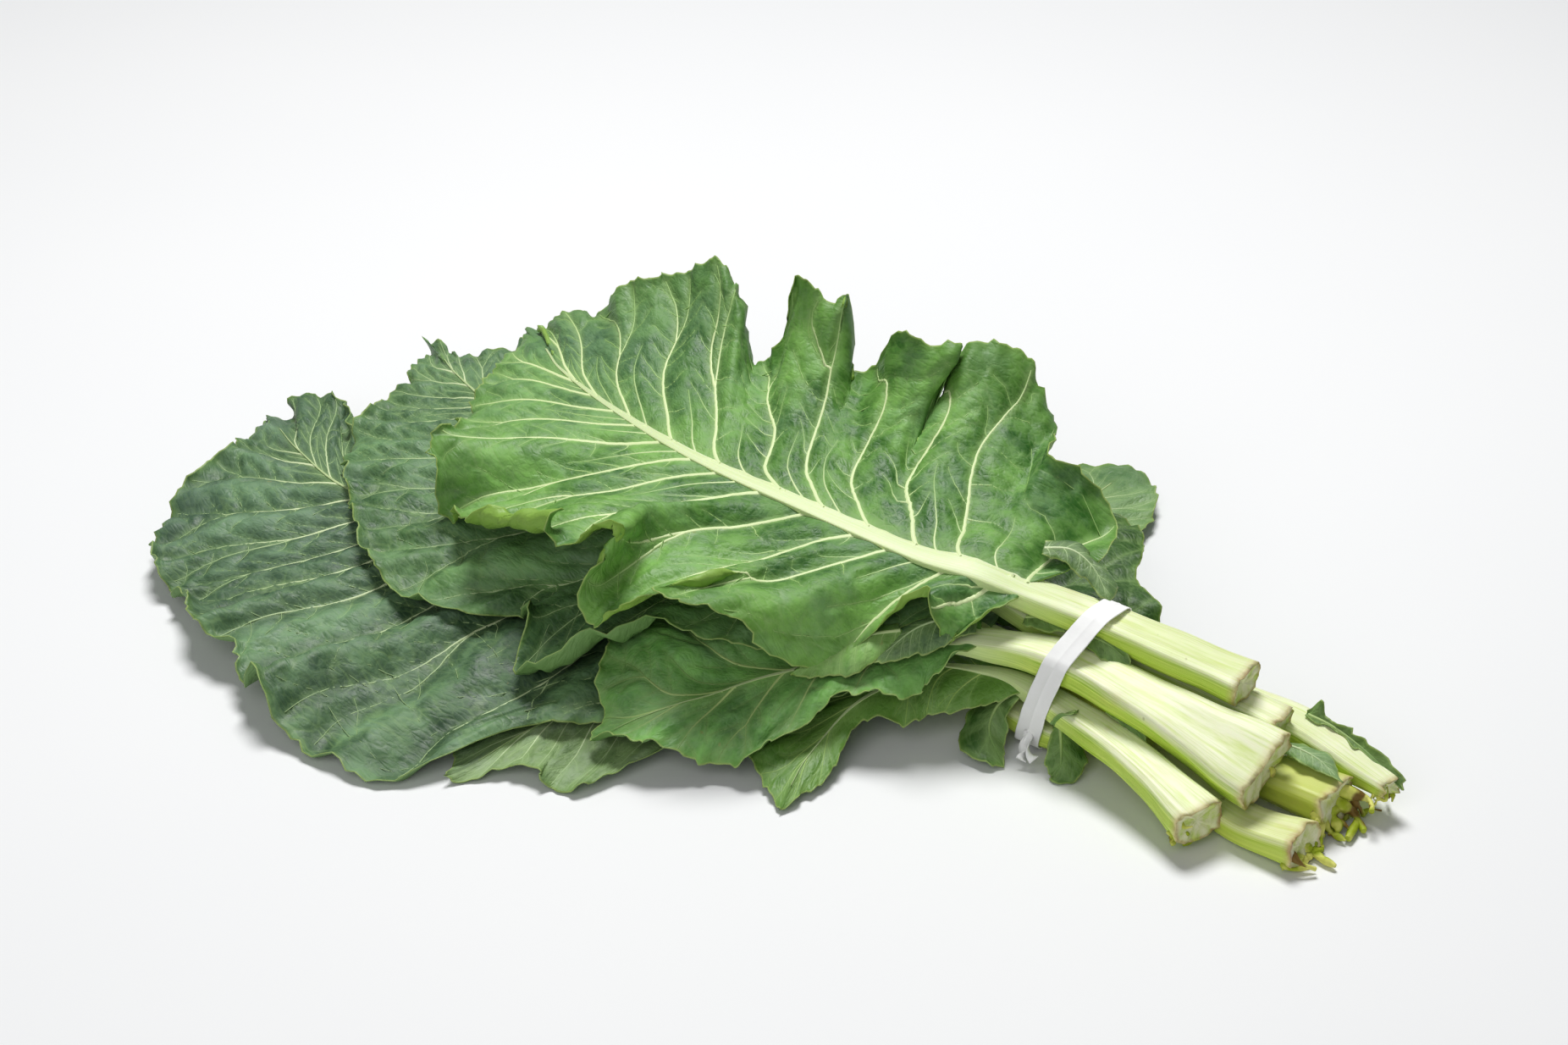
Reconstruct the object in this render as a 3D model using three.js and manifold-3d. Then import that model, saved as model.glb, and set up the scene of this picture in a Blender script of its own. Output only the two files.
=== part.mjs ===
// A bunch of nine collard green leaves held by a twist tie, lying on its side. Millimetres, +Z up.
// The leaves are laid out from the tie: x = 0 at the tie, stalk butts towards +X, blades towards
// -X, the near side is -Y, the ground is z = 0. The whole bunch is centred on the origin at the end.
import * as THREE from "three";
import Module from "manifold-3d";

const wasm = await Module();
wasm.setup();

const BLADE_THICKNESS = 1.0;
const LEAF_GAP = 1.9; // air left between one leaf and the next above it
const TIE_X = 3;
const TIE_WIDTH = 9.5;
const TIE_THICKNESS = 0.6;
const TIE_CLEARANCE = 0.6;
const TIE_LEAN = 0.28; // how far the ribbon leans towards the butts per millimetre of height
const TIE_MIDDLE_Z = 24; // height of the tied stalks' centre
const TIE_SIDES = 28;
const TAIL_PATH = [[-2.4, -20, 8.4], [-0.8, -22.5, 5.6], [0.4, -25.5, 3.6], [2.2, -28.5, 3]];
const TAIL_WIDTHS = [3.6, 4.4];
const TAIL_TWIST = 1.6;
const RING_POINTS = 10; // points round a stalk's section
const GROUND_REACH = 0.3; // a blade closer to the ground than this lies flat on it
const DEGREE = Math.PI / 180;

// How far a lateral line swings from square across the rib towards the tip, in degrees.
const FAN = [[0, 5], [0.3, 26], [0.55, 36], [0.75, 50], [0.88, 68], [1, 90]];
const BLUNT_FAN = [[0, 5], [0.3, 26], [0.55, 36], [0.75, 42], [0.9, 52], [0.96, 66], [1, 90]];

// grid:  steps from the rib to the margin, widest step along the blade as a share of it
// rib:   points along the top of the stalk and midrib, from the cut butt to the tip of the rib
// stalk: [share of the rib's length, width, depth]
// roll:  [share of the rib's length, degrees the stalk is turned with its near edge down]
// start: length of bare stalk before the blade begins
// near, far: [share of the blade's length, blade width along the line, slope at the rib in
//             degrees, slope at the margin in degrees]
const LEAVES = [
  {
    name: "leaf_base_left",
    grid: [3, 0.12],
    colour: 0x4c6b45,
    rib: [[101, -13, 12.4], [80, -13.5, 10], [58, -9, 11], [30, -1.5, 11.5], [3, 0.5, 12],
      [-60, -16, 9], [-120, -38, 7], [-180, -60, 6], [-240, -82, 4.6], [-280, -96, 3.4],
      [-302, -104, 2.6]],
    stalk: [[0, 18, 12.5], [0.05, 16, 10], [0.1, 14.5, 10.4], [0.24, 12, 10], [0.34, 9, 7],
      [0.6, 6, 5], [1, 2, 2]],
    start: 135,
    sweepNear: BLUNT_FAN,
    sweepFar: BLUNT_FAN,
    near: [[0, 5, -12, -6], [0.16, 40, -14, -4], [0.34, 58, -13, -3], [0.52, 60, -12, -3],
      [0.66, 66, -10, -2], [0.79, 58, -8, -3], [0.9, 42, -6, -3], [0.96, 31, -5, -3],
      [1, 24, -4, -2]],
    far: [[0, 5, -12, -6], [0.16, 50, -14, -4], [0.32, 66, -13, -3], [0.5, 62, -12, -3],
      [0.65, 56, -10, -2], [0.78, 50, -8, -3], [0.9, 38, -6, -3], [0.96, 30, -5, -3],
      [1, 24, -4, -2]],
  },
  {
    name: "leaf_base_near",
    grid: [3, 0.09],
    colour: 0x5f7f4a,
    rib: [[14, -13.5, 11.5], [3, -12.5, 12], [-20, -15, 12], [-48, -28, 12], [-80, -50, 11],
      [-110, -74, 10], [-126, -98, 8], [-132, -124, 6], [-135, -143, 3]],
    stalk: [[0, 10, 9], [0.06, 12, 10], [0.22, 9, 8], [0.65, 5, 4.5], [1, 2, 2]],
    start: 48,
    near: [[0, 4, -5, -5], [0.2, 10, -5, -5], [0.33, 15, -8, -5], [0.4, 32, -10, -4],
      [0.46, 49, -9, -3], [0.53, 60, -8, -6], [0.6, 58, -7, -8], [0.7, 46, -6, -5],
      [0.83, 26, -5, 0], [0.92, 20, -5, 5], [1, 14, -5, 10]],
    far: [[0, 6, -5, -5], [0.2, 40, -10, -5], [0.4, 52, -9, -5], [0.6, 50, -8, -5],
      [0.75, 38, -6, 0], [0.9, 22, -3, 10], [1, 14, -5, 10]],
  },
  {
    name: "leaf_base_far",
    grid: [3, 0.13],
    colour: 0x557a4a,
    rib: [[58, 26, 11.3], [30, 21, 11.5], [3, 13.5, 12], [-16, 17, 12], [-38, 38, 12],
      [-56, 66, 11], [-70, 96, 9], [-78, 122, 7], [-81, 142, 5]],
    stalk: [[0, 13, 10], [0.26, 12, 10], [0.45, 8, 7], [0.75, 5, 4], [1, 2, 2]],
    start: 96,
    sweepNear: BLUNT_FAN,
    sweepFar: BLUNT_FAN,
    near: [[0, 6, -5, -5], [0.25, 44, -12, -5], [0.5, 54, -11, -5], [0.7, 48, -10, -3],
      [0.85, 36, -8, -3], [0.95, 25, -6, -3], [1, 18, -5, -2]],
    far: [[0, 6, -5, -5], [0.25, 26, -11, -5], [0.5, 32, -10, -3], [0.7, 33, -8, 12],
      [0.85, 28, -6, 18], [0.95, 22, -5, 0], [1, 18, -5, -2]],
  },
  {
    name: "leaf_low_near",
    grid: [3, 0.1],
    colour: 0x5c8a35,
    rib: [[73, -29, 17.2], [35, -19, 22.2], [3, -14, 23.7], [-18, -14.5, 23.5], [-36, -22, 20],
      [-46, -38, 14], [-51, -60, 10], [-49, -78, 7], [-45, -90, 5]],
    stalk: [[0, 19, 14], [0.12, 15, 11], [0.37, 12, 10], [0.5, 8, 7], [0.75, 4.5, 4], [1, 2, 2]],
    start: 78,
    near: [[0, 3, -20, -40], [0.08, 11, -25, -50], [0.2, 17, -25, -45], [0.3, 19, -20, -40],
      [0.455, 16, -15, -20], [0.546, 9, -10, 0], [0.637, 8, -10, -10], [0.728, 14, -10, -20],
      [0.837, 15, -10, -15], [1, 10, -8, -10]],
    far: [[0, 3, -14, -8], [0.1, 7, -14, -8], [0.2, 12, -14, -8], [0.337, 34, -8, -5],
      [0.455, 44, -10, -5], [0.637, 38, -10, -5], [0.8, 23, -8, -5], [0.909, 15, -8, -10],
      [1, 10, -8, -10]],
  },
  {
    name: "leaf_back",
    grid: [3, 0.1],
    colour: 0x35611c,
    rib: [[110, 26, 14], [80, 29, 21], [58, 28, 23.5], [30, 23, 24], [3, 14.2, 24],
      [-18, 17.5, 25], [-36, 25, 26], [-64, 40, 27], [-100, 60, 25], [-140, 80, 19],
      [-170, 98, 11]],
    stalk: [[0, 10, 6], [0.06, 15, 10], [0.15, 15, 11], [0.36, 12, 10], [0.5, 8, 7],
      [0.75, 5, 4], [1, 2, 2]],
    start: 128,
    sweepNear: BLUNT_FAN,
    sweepFar: [[0, -36], [0.1, -24], [0.22, -2], [0.4, 22], [0.6, 36], [0.8, 50], [0.93, 66],
      [1, 90]],
    near: [[0, 4, -10, 0], [0.12, 8, -10, -5], [0.25, 44, -8, -5], [0.4, 60, -8, -5],
      [0.55, 60, -8, 0], [0.75, 46, -8, -10], [0.9, 30, -8, -5], [1, 24, -8, -10]],
    far: [[0, 33, 0, -6], [0.05, 38, 0, -10], [0.1, 42, 5, 0], [0.16, 42, 5, 0],
      [0.24, 56, 5, -10], [0.36, 62, 0, -20], [0.5, 54, 0, 5], [0.67, 48, 0, -15],
      [0.84, 34, -5, 0], [1, 24, -8, -10]],
  },
  {
    name: "leaf_left",
    grid: [4, 0.065],
    colour: 0x56775a,
    rib: [[99, 10, 16.6], [58, 9, 15.5], [30, 8.6, 20.6], [3, 1, 23.7], [-50, -10, 26], [-100, -26, 27],
      [-160, -46, 28], [-220, -64, 28], [-270, -71, 26], [-312, -58, 22], [-338, -44, 16]],
    stalk: [[0, 20, 14], [0.08, 16, 12], [0.22, 12, 10], [0.32, 10, 9], [0.6, 6, 5],
      [0.85, 4, 3], [1, 2, 2]],
    start: 130,
    sweepNear: [[0, 5], [0.25, 8], [0.35, 14], [0.45, 34], [0.6, 48], [0.75, 52], [0.88, 66],
      [1, 90]],
    near: [[0, 8, -10, -10], [0.12, 44, -12, -10], [0.22, 64, -12, -10], [0.33, 82, -12, -10],
      [0.355, 92, -12, -10], [0.375, 124, -12, -11], [0.39, 134, -12, -12], [0.42, 134, -11, -12],
      [0.46, 131, -9, 0], [0.485, 124, -9, -5], [0.52, 117, -9, -12], [0.56, 112, -8, 0],
      [0.62, 101, -8, -15], [0.72, 86, -8, -15], [0.79, 66, -8, -10], [0.84, 48, -6, -8],
      [0.92, 34, -5, -5], [1, 26, -5, -5]],
    far: [[0, 8, -5, 0], [0.15, 50, -8, 0], [0.3, 72, -6, 5], [0.5, 72, -5, 0], [0.65, 64, -3, 5],
      [0.76, 58, -3, 0], [0.83, 63, 0, 5], [0.89, 56, 0, 10], [0.95, 36, 0, 0], [1, 26, -5, -5]],
  },
  {
    name: "leaf_middle_near",
    grid: [3, 0.09],
    colour: 0x4a7a40,
    rib: [[82, -4.5, 27.8], [58, -5.5, 32], [40, -6.5, 34.8], [3, -9.5, 39], [-20, -16, 37],
      [-45, -34, 31], [-68, -58, 25], [-82, -78, 20], [-94, -98, 15], [-104, -110, 11]],
    stalk: [[0, 30, 14], [0.1, 23, 14], [0.18, 19, 13], [0.33, 16, 12], [0.44, 12, 10],
      [0.7, 6, 5], [1, 2, 2]],
    roll: [[0, 25], [0.1, 22], [0.18, 14], [0.33, 0], [1, 0]],
    start: 108,
    near: [[0, 5, -10, -20], [0.08, 14, -20, -45], [0.16, 18, -20, -50], [0.25, 19, -18, -40],
      [0.34, 16, -10, -15], [0.42, 26, -15, -35], [0.55, 33, -15, -30], [0.67, 28, -15, -35],
      [0.78, 22, -10, -25], [0.9, 16, -10, -20], [1, 9, -10, -15]],
    far: [[0, 10, -4, -4], [0.15, 40, -10, -10], [0.3, 60, -12, -10], [0.5, 58, -12, -8],
      [0.66, 51, -10, -8], [0.76, 38, -8, -12], [0.88, 21, -8, -15], [1, 9, -10, -15]],
  },
  {
    name: "leaf_second",
    grid: [4, 0.065],
    colour: 0x5d8560,
    rib: [[73, 17, 29], [58, 16, 31], [30, 13.5, 34.3], [3, 9, 36.5], [-50, -4, 43], [-100, -20, 47],
      [-150, -28, 48], [-200, -26, 47], [-250, -14, 43], [-290, 4, 37], [-312, 18, 32]],
    stalk: [[0, 15, 11], [0.08, 14, 11], [0.18, 13, 11], [0.3, 10, 9], [0.6, 7, 5],
      [0.85, 4, 3], [1, 2, 2]],
    start: 102,
    sweepNear: [[0, 10], [0.2, 18], [0.35, 26], [0.5, 42], [0.7, 52], [0.86, 66], [1, 90]],
    near: [[0, 8, -10, -20], [0.08, 26, -15, -30], [0.15, 46, -20, -20], [0.26, 62, -20, -14],
      [0.295, 88, -21, -14], [0.33, 99, -22, -22], [0.355, 82, -22, -12], [0.385, 79, -22, -25],
      [0.42, 97, -20, -18], [0.455, 101, -19, -10], [0.51, 96, -17, -4], [0.615, 84, -13, -22],
      [0.71, 70, -8, -20], [0.81, 46, -8, -10], [0.91, 32, -6, -5], [1, 28, -5, 0]],
    far: [[0, 10, 0, 0], [0.1, 50, 0, 5], [0.25, 82, 0, 10], [0.4, 80, 0, 5], [0.55, 84, 0, 15],
      [0.68, 72, 0, 5], [0.8, 50, 0, 10], [0.89, 34, 0, 0], [1, 28, -5, 0]],
  },
  {
    name: "leaf_top",
    grid: [6, 0.045],
    colour: 0x6f945c,
    rib: [[61, 13.5, 42], [30, 9, 45.8], [3, 4.5, 49], [-50, -11, 56], [-100, -17, 60],
      [-150, -17, 61], [-200, -7, 59], [-236, 6, 56], [-254, 17, 54]],
    stalk: [[0, 19, 11], [0.18, 15, 10.5], [0.26, 14, 10], [0.4, 10, 8], [0.6, 7, 6],
      [0.85, 4, 3.5], [1, 2, 2]],
    start: 80,
    sweepNear: [[0, 5], [0.12, 24], [0.35, 27], [0.55, 32], [0.72, 42], [0.86, 66], [1, 90]],
    sweepFar: [[0, -45], [0.05, -12], [0.15, 8], [0.3, 27], [0.5, 36], [0.7, 50], [0.85, 72],
      [1, 90]],
    near: [[0, 8, -10, -20], [0.024, 20, -20, -60], [0.046, 29, -20, -70], [0.075, 28, -10, 0],
      [0.108, 36, -15, -50], [0.13, 55, -20, -60], [0.15, 64, -15, -35], [0.17, 69, -10, -10],
      [0.225, 83, -12, -16], [0.24, 66, -10, -12], [0.255, 64, -10, -14], [0.27, 78, -13, -22],
      [0.32, 96, -16, -43], [0.355, 97, -16, -43], [0.385, 87, -12, -18], [0.405, 82, -8, 0],
      [0.43, 84, -10, -18], [0.49, 86, -10, -8], [0.54, 84, -8, -15], [0.59, 87, -10, -40],
      [0.615, 84, -10, -15], [0.645, 77, -5, 10], [0.68, 67, -5, 0], [0.74, 57, -5, -15],
      [0.8, 49, -5, -20], [0.9, 38, -5, -15], [1, 32, -5, -10]],
    far: [[0, 26, 10, 10], [0.023, 49, 5, 0], [0.046, 57, 10, 20], [0.068, 54, 10, 50],
      [0.088, 75, 10, 20], [0.13, 92, 15, 30], [0.16, 91, 15, 38], [0.19, 86, 15, 42],
      [0.208, 76, 12, 28], [0.218, 71, 10, 20], [0.23, 86, 10, 66], [0.25, 80, 10, 62],
      [0.275, 83, 10, 64], [0.297, 80, 10, 62], [0.31, 72, 10, 20], [0.325, 74, 10, 30],
      [0.336, 91, 10, 74], [0.352, 85, 10, 72], [0.38, 88, 10, 75], [0.41, 90, 10, 74],
      [0.424, 76, 10, 40], [0.44, 68, 10, 10], [0.472, 65, 10, 6], [0.488, 74, 12, 26],
      [0.503, 83, 15, 42], [0.53, 86, 15, 46], [0.569, 87, 15, 45], [0.62, 81, 15, 36],
      [0.668, 75, 15, 30], [0.736, 65, 15, 26], [0.768, 61, 10, 4], [0.821, 56, 10, 10],
      [0.907, 44, 5, -5], [1, 32, -5, -10]],
  },
];

// Small lobes of blade left on a stalk: each grows from the stalk of the leaf it is named on.
const LOBES = [
  {
    on: "leaf_low_near",
    rib: [[-9, -16, 20], [-13, -21.5, 15.5], [-12, -27.5, 9], [-5.5, -31, 2.5]],
    stalk: [[0, 3, 3], [1, 1.2, 1.2]],
    start: 2,
    near: [[0, 3, -10, -20], [0.4, 7, -10, -30], [1, 3, 0, 0]],
    far: [[0, 3, 10, 0], [0.35, 10, -5, -30], [0.7, 10, 0, 10], [1, 4, 0, 0]],
  },
  {
    on: "leaf_low_near",
    rib: [[11, -17, 15.5], [14, -21, 10], [16, -24.5, 5.5], [15.5, -27, 2.2]],
    stalk: [[0, 3, 3], [1, 1.2, 1.2]],
    start: 1,
    near: [[0, 5, -20, -30], [0.4, 10, -10, -20], [1, 3, 0, 0]],
    far: [[0, 3, -20, -30], [0.5, 6, -10, -20], [1, 3, 0, 0]],
  },
];

// A smooth curve through stations: row[0] is the place, row[column] the value.
function smooth(stations, place, column) {
  const last = stations.length - 1;
  let k = 0;
  while (k < last - 1 && stations[k + 1][0] <= place) k += 1;
  const tangent = (i) => {
    const before = stations[Math.max(i - 1, 0)];
    const after = stations[Math.min(i + 1, last)];
    return (after[column] - before[column]) / (after[0] - before[0]);
  };
  const from = stations[k];
  const to = stations[k + 1];
  const span = to[0] - from[0];
  const t = Math.min(Math.max((place - from[0]) / span, 0), 1);
  return (2 * t ** 3 - 3 * t * t + 1) * from[column]
    + (t ** 3 - 2 * t * t + t) * span * tangent(k)
    + (3 * t * t - 2 * t ** 3) * to[column]
    + (t ** 3 - t * t) * span * tangent(k + 1);
}

// The rib as stations [length from the butt, x, y, z].
function ribStations(leaf) {
  let length = 0;
  return leaf.rib.map((point, i) => {
    if (i) length += Math.hypot(...point.map((value, k) => value - leaf.rib[i - 1][k]));
    return [length, ...point];
  });
}

const pointAt = (stations, length) =>
  new THREE.Vector3(...[1, 2, 3].map((column) => smooth(stations, length, column)));

// Position, direction, sideways (level, to the near side) and upward vectors on the rib.
function frameAt(stations, length) {
  const end = stations.at(-1)[0];
  const ahead = pointAt(stations, Math.min(length + 0.5, end));
  const along = ahead.sub(pointAt(stations, Math.max(length - 0.5, 0))).normalize();
  const side = new THREE.Vector3(0, 0, 1).cross(along).normalize();
  const up = along.clone().cross(side);
  return { at: pointAt(stations, length), along, side, up };
}

// Points from the rib out to the margin along one lateral line.
function lateralLine(leaf, stations, share, sign, steps) {
  const table = sign > 0 ? leaf.near : leaf.far;
  const fan = (sign > 0 ? leaf.sweepNear : leaf.sweepFar) ?? FAN;
  const end = stations.at(-1)[0];
  const { at, along, side, up } = frameAt(stations, leaf.start + (end - leaf.start) * share);
  const sweep = smooth(fan, share, 1) * DEGREE;
  const outward = side.multiplyScalar(sign * Math.cos(sweep)).addScaledVector(along, Math.sin(sweep));
  const step = Math.max(smooth(table, share, 1), 1) / steps;
  const inner = smooth(table, share, 2) * DEGREE;
  const outer = smooth(table, share, 3) * DEGREE;
  const points = [at.clone()];
  for (let j = 0; j < steps; j += 1) {
    const slope = inner + (outer - inner) * ((j + 0.5) / steps) ** 2;
    at.addScaledVector(outward, step * Math.cos(slope));
    at.addScaledVector(up, step * Math.sin(slope));
    points.push(at.clone());
  }
  return points;
}

// Places along the blade where a row of points is worth having.
function rowShares(leaf, widest) {
  const wanted = [...leaf.near, ...leaf.far].map((row) => row[0]).sort((a, b) => a - b);
  const rows = [0];
  for (const share of wanted) {
    if (share - rows.at(-1) < widest * 0.35) continue;
    const parts = Math.ceil((share - rows.at(-1)) / widest);
    const from = rows.at(-1);
    for (let k = 1; k <= parts; k += 1) rows.push(from + ((share - from) * k) / parts);
  }
  rows[rows.length - 1] = 1;
  return rows;
}

// The blade as rows of points from the near margin over the rib to the far margin.
function bladeRows(leaf, steps, widest) {
  const stations = ribStations(leaf);
  return rowShares(leaf, widest).map((share) => {
    const near = lateralLine(leaf, stations, share, 1, steps);
    const far = lateralLine(leaf, stations, share, -1, steps);
    return [...near.reverse(), ...far.slice(1)];
  });
}

// Rings of points round the stalk and midrib.
function ribRings(leaf, spacing) {
  const stations = ribStations(leaf);
  const end = stations.at(-1)[0];
  const count = Math.round(end / spacing);
  return Array.from({ length: count + 1 }, (_, i) => {
    const length = (end * i) / count;
    const { at, side, up, along } = frameAt(stations, length);
    const width = smooth(leaf.stalk, length / end, 1);
    const depth = smooth(leaf.stalk, length / end, 2);
    const bare = 1 - THREE.MathUtils.smoothstep(length, leaf.start - 30, leaf.start + 20);
    const crown = depth * (0.12 + 0.38 * bare);
    const roll = (leaf.roll ? smooth(leaf.roll, length / end, 1) : 0) * DEGREE;
    const centre = at.addScaledVector(up, 0.4 * (1 - bare) - crown);
    return Array.from({ length: RING_POINTS }, (_unused, k) => {
      const turn = (2 * Math.PI * (k + 0.5)) / RING_POINTS;
      const rise = Math.sin(turn) > 0 ? crown : depth - crown;
      const ragged = i === 0 ? 2.2 * Math.sin(2.3 * k + leaf.start) - 0.1 * width : 0;
      const across = (width / 2) * Math.cos(turn);
      const upward = rise * Math.sin(turn);
      return centre.clone()
        .addScaledVector(side, across * Math.cos(roll) + upward * Math.sin(roll))
        .addScaledVector(up, upward * Math.cos(roll) - across * Math.sin(roll))
        .addScaledVector(along, ragged);
    });
  });
}

// The height of whatever lies under a place, kept on a level grid.
class HeightMap {
  constructor() {
    this.cell = 3;
    this.west = -390;
    this.south = -210;
    this.columns = 180;
    this.rows = 140;
    this.heights = new Float64Array(this.columns * this.rows).fill(-LEAF_GAP);
  }

  index(x, y) {
    const column = Math.round((x - this.west) / this.cell);
    const row = Math.round((y - this.south) / this.cell);
    const inside = column >= 0 && row >= 0 && column < this.columns && row < this.rows;
    return inside ? row * this.columns + column : -1;
  }

  // Calls visit(point) on points spread over every four-cornered patch of rows.
  static overPatches(rows, visit) {
    const point = new THREE.Vector3();
    for (let i = 0; i + 1 < rows.length; i += 1) {
      for (let j = 0; j + 1 < rows[i].length; j += 1) {
        const [a, b, c, d] = [rows[i][j], rows[i][j + 1], rows[i + 1][j], rows[i + 1][j + 1]];
        const across = Math.ceil(Math.max(a.distanceTo(b), c.distanceTo(d)) / 2) + 1;
        const down = Math.ceil(Math.max(a.distanceTo(c), b.distanceTo(d)) / 2) + 1;
        for (let p = 0; p <= across; p += 1) {
          for (let q = 0; q <= down; q += 1) {
            const [u, v] = [p / across, q / down];
            point.set(0, 0, 0)
              .addScaledVector(a, (1 - u) * (1 - v)).addScaledVector(b, u * (1 - v))
              .addScaledVector(c, (1 - u) * v).addScaledVector(d, u * v);
            visit(point);
          }
        }
      }
    }
  }

  cover(rows, spread = 0) {
    HeightMap.overPatches(rows, (point) => {
      for (const [dx, dy] of [[0, 0], [spread, 0], [-spread, 0], [0, spread], [0, -spread]]) {
        const k = this.index(point.x + dx, point.y + dy);
        if (k >= 0) this.heights[k] = Math.max(this.heights[k], point.z);
      }
    });
  }

  // How much a sheet has to rise at each cell to lie clear of what is under it.
  liftFor(rows, counts) {
    const lift = new Float64Array(this.heights.length);
    HeightMap.overPatches(rows, (point) => {
      if (!counts(point)) return;
      const k = this.index(point.x, point.y);
      if (k < 0) return;
      lift[k] = Math.max(lift[k], this.heights[k] + LEAF_GAP - point.z);
    });
    this.spread(lift);
    return lift;
  }

  // Spreads a lift outwards as a gentle slope, so that a sheet bends over a bump.
  spread(lift) {
    const fall = 0.35 * this.cell;
    const pass = (order, steps) => {
      for (const k of order) {
        for (const [offset, distance] of steps) {
          const from = lift[k + offset];
          if (from !== undefined) lift[k] = Math.max(lift[k], from - fall * distance);
        }
      }
    };
    const order = [...lift.keys()];
    const width = this.columns;
    const before = [[-1, 1], [-width, 1], [-width - 1, Math.SQRT2], [1 - width, Math.SQRT2]];
    pass(order, before);
    pass(order.reverse(), before.map(([offset, distance]) => [-offset, distance]));
  }
}

// A closed skin over rings or rows given as lists of vertex numbers.
class Skin {
  constructor() {
    this.points = [];
    this.faces = [];
  }

  add(point) {
    this.points.push(point.x, point.y, point.z);
    return this.points.length / 3 - 1;
  }

  quad(a, b, c, d) {
    for (const face of [[a, b, c], [a, c, d]]) {
      if (new Set(face).size === 3) this.faces.push(...face);
    }
  }

  solid() {
    return new wasm.Manifold(new wasm.Mesh({
      numProp: 3,
      vertProperties: new Float32Array(this.points),
      triVerts: new Uint32Array(this.faces),
    }));
  }
}

// The blade as a closed slab. The last row folds onto itself, so its two halves share points.
function bladeSolid(rows, thickness) {
  const skin = new Skin();
  const last = rows.length - 1;
  const width = rows[0].length - 1;
  const middle = width / 2;
  const at = (i, j) => rows[THREE.MathUtils.clamp(i, 0, last)][THREE.MathUtils.clamp(j, 0, width)];
  const layer = (depth) => rows.map((row, i) => {
    const numbers = [];
    row.forEach((point, j) => {
      if (i === last && j > middle) {
        numbers.push(numbers[width - j]);
        return;
      }
      const across = at(i, j + 1).clone().sub(at(i, j - 1));
      const down = at(i + 1, j).clone().sub(at(i - 1, j));
      if (i === last) across.copy(at(i - 1, j + 1)).sub(at(i - 1, j - 1));
      const normal = across.cross(down).normalize();
      if (i === last && j !== middle) normal.set(0, 0, 1);
      const moved = point.clone().addScaledVector(normal, -depth);
      if (moved.z < BLADE_THICKNESS - depth + GROUND_REACH) moved.z = BLADE_THICKNESS - depth;
      numbers.push(skin.add(moved));
    });
    return numbers;
  });
  const top = layer(0);
  const bottom = layer(thickness);
  for (let i = 0; i < last; i += 1) {
    for (let j = 0; j < width; j += 1) {
      skin.quad(top[i][j], top[i][j + 1], top[i + 1][j + 1], top[i + 1][j]);
      skin.quad(bottom[i][j], bottom[i + 1][j], bottom[i + 1][j + 1], bottom[i][j + 1]);
    }
    skin.quad(top[i][0], top[i + 1][0], bottom[i + 1][0], bottom[i][0]);
    skin.quad(top[i][width], bottom[i][width], bottom[i + 1][width], top[i + 1][width]);
  }
  for (let j = 0; j < width; j += 1) {
    skin.quad(top[0][j], bottom[0][j], bottom[0][j + 1], top[0][j + 1]);
  }
  return skin.solid();
}

// Rings joined one to the next and closed at both ends.
function ringSolid(rings) {
  const skin = new Skin();
  const numbers = rings.map((ring) => ring.map((point) => skin.add(point)));
  const count = rings[0].length;
  for (let i = 0; i + 1 < rings.length; i += 1) {
    for (let k = 0; k < count; k += 1) {
      const next = (k + 1) % count;
      skin.quad(numbers[i][k], numbers[i][next], numbers[i + 1][next], numbers[i + 1][k]);
    }
  }
  for (const [ring, row, turn] of [[rings[0], numbers[0], 1], [rings.at(-1), numbers.at(-1), 0]]) {
    const centre = new THREE.Vector3();
    ring.forEach((point) => centre.addScaledVector(point, 1 / count));
    const hub = skin.add(centre);
    row.forEach((number, k) => {
      const next = row[(k + 1) % count];
      skin.faces.push(...(turn ? [hub, next, number] : [hub, number, next]));
    });
  }
  return skin.solid();
}

function meshOf(solid, name, material) {
  const made = solid.getMesh();
  const geometry = new THREE.BufferGeometry();
  geometry.setAttribute("position", new THREE.BufferAttribute(made.vertProperties, 3));
  geometry.setIndex(new THREE.BufferAttribute(made.triVerts, 1));
  geometry.computeVertexNormals();
  const mesh = new THREE.Mesh(geometry, material);
  mesh.name = name;
  return mesh;
}

// Places [y, z] on a stalk's skin under the width of the ribbon.
function underRibbon(rings) {
  const found = [];
  for (let i = 0; i + 1 < rings.length; i += 1) {
    rings[i].forEach((from, k) => {
      for (let t = 0; t <= 1; t += 0.04) {
        const point = from.clone().lerp(rings[i + 1][k], t);
        const middle = TIE_X + TIE_LEAN * (point.z - TIE_MIDDLE_Z);
        if (Math.abs(point.x - middle) < TIE_WIDTH / 2 + 1) found.push([point.y, point.z]);
      }
    });
  }
  return found;
}

// The ribbon pulled tight round the stalks: straight runs that just clear every section.
function tieLoop(sections, gap) {
  const sides = Array.from({ length: TIE_SIDES }, (_, k) => {
    const turn = (2 * Math.PI * k) / TIE_SIDES;
    const normal = [Math.cos(turn), Math.sin(turn)];
    const reach = Math.max(...sections.map(([y, z]) => y * normal[0] + z * normal[1]));
    return { normal, reach: reach + gap };
  });
  return sides.map((side, k) => {
    const next = sides[(k + 1) % TIE_SIDES];
    const cross = side.normal[0] * next.normal[1] - side.normal[1] * next.normal[0];
    return [
      (side.reach * next.normal[1] - next.reach * side.normal[1]) / cross,
      (side.normal[0] * next.reach - next.normal[0] * side.reach) / cross,
    ];
  });
}

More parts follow.
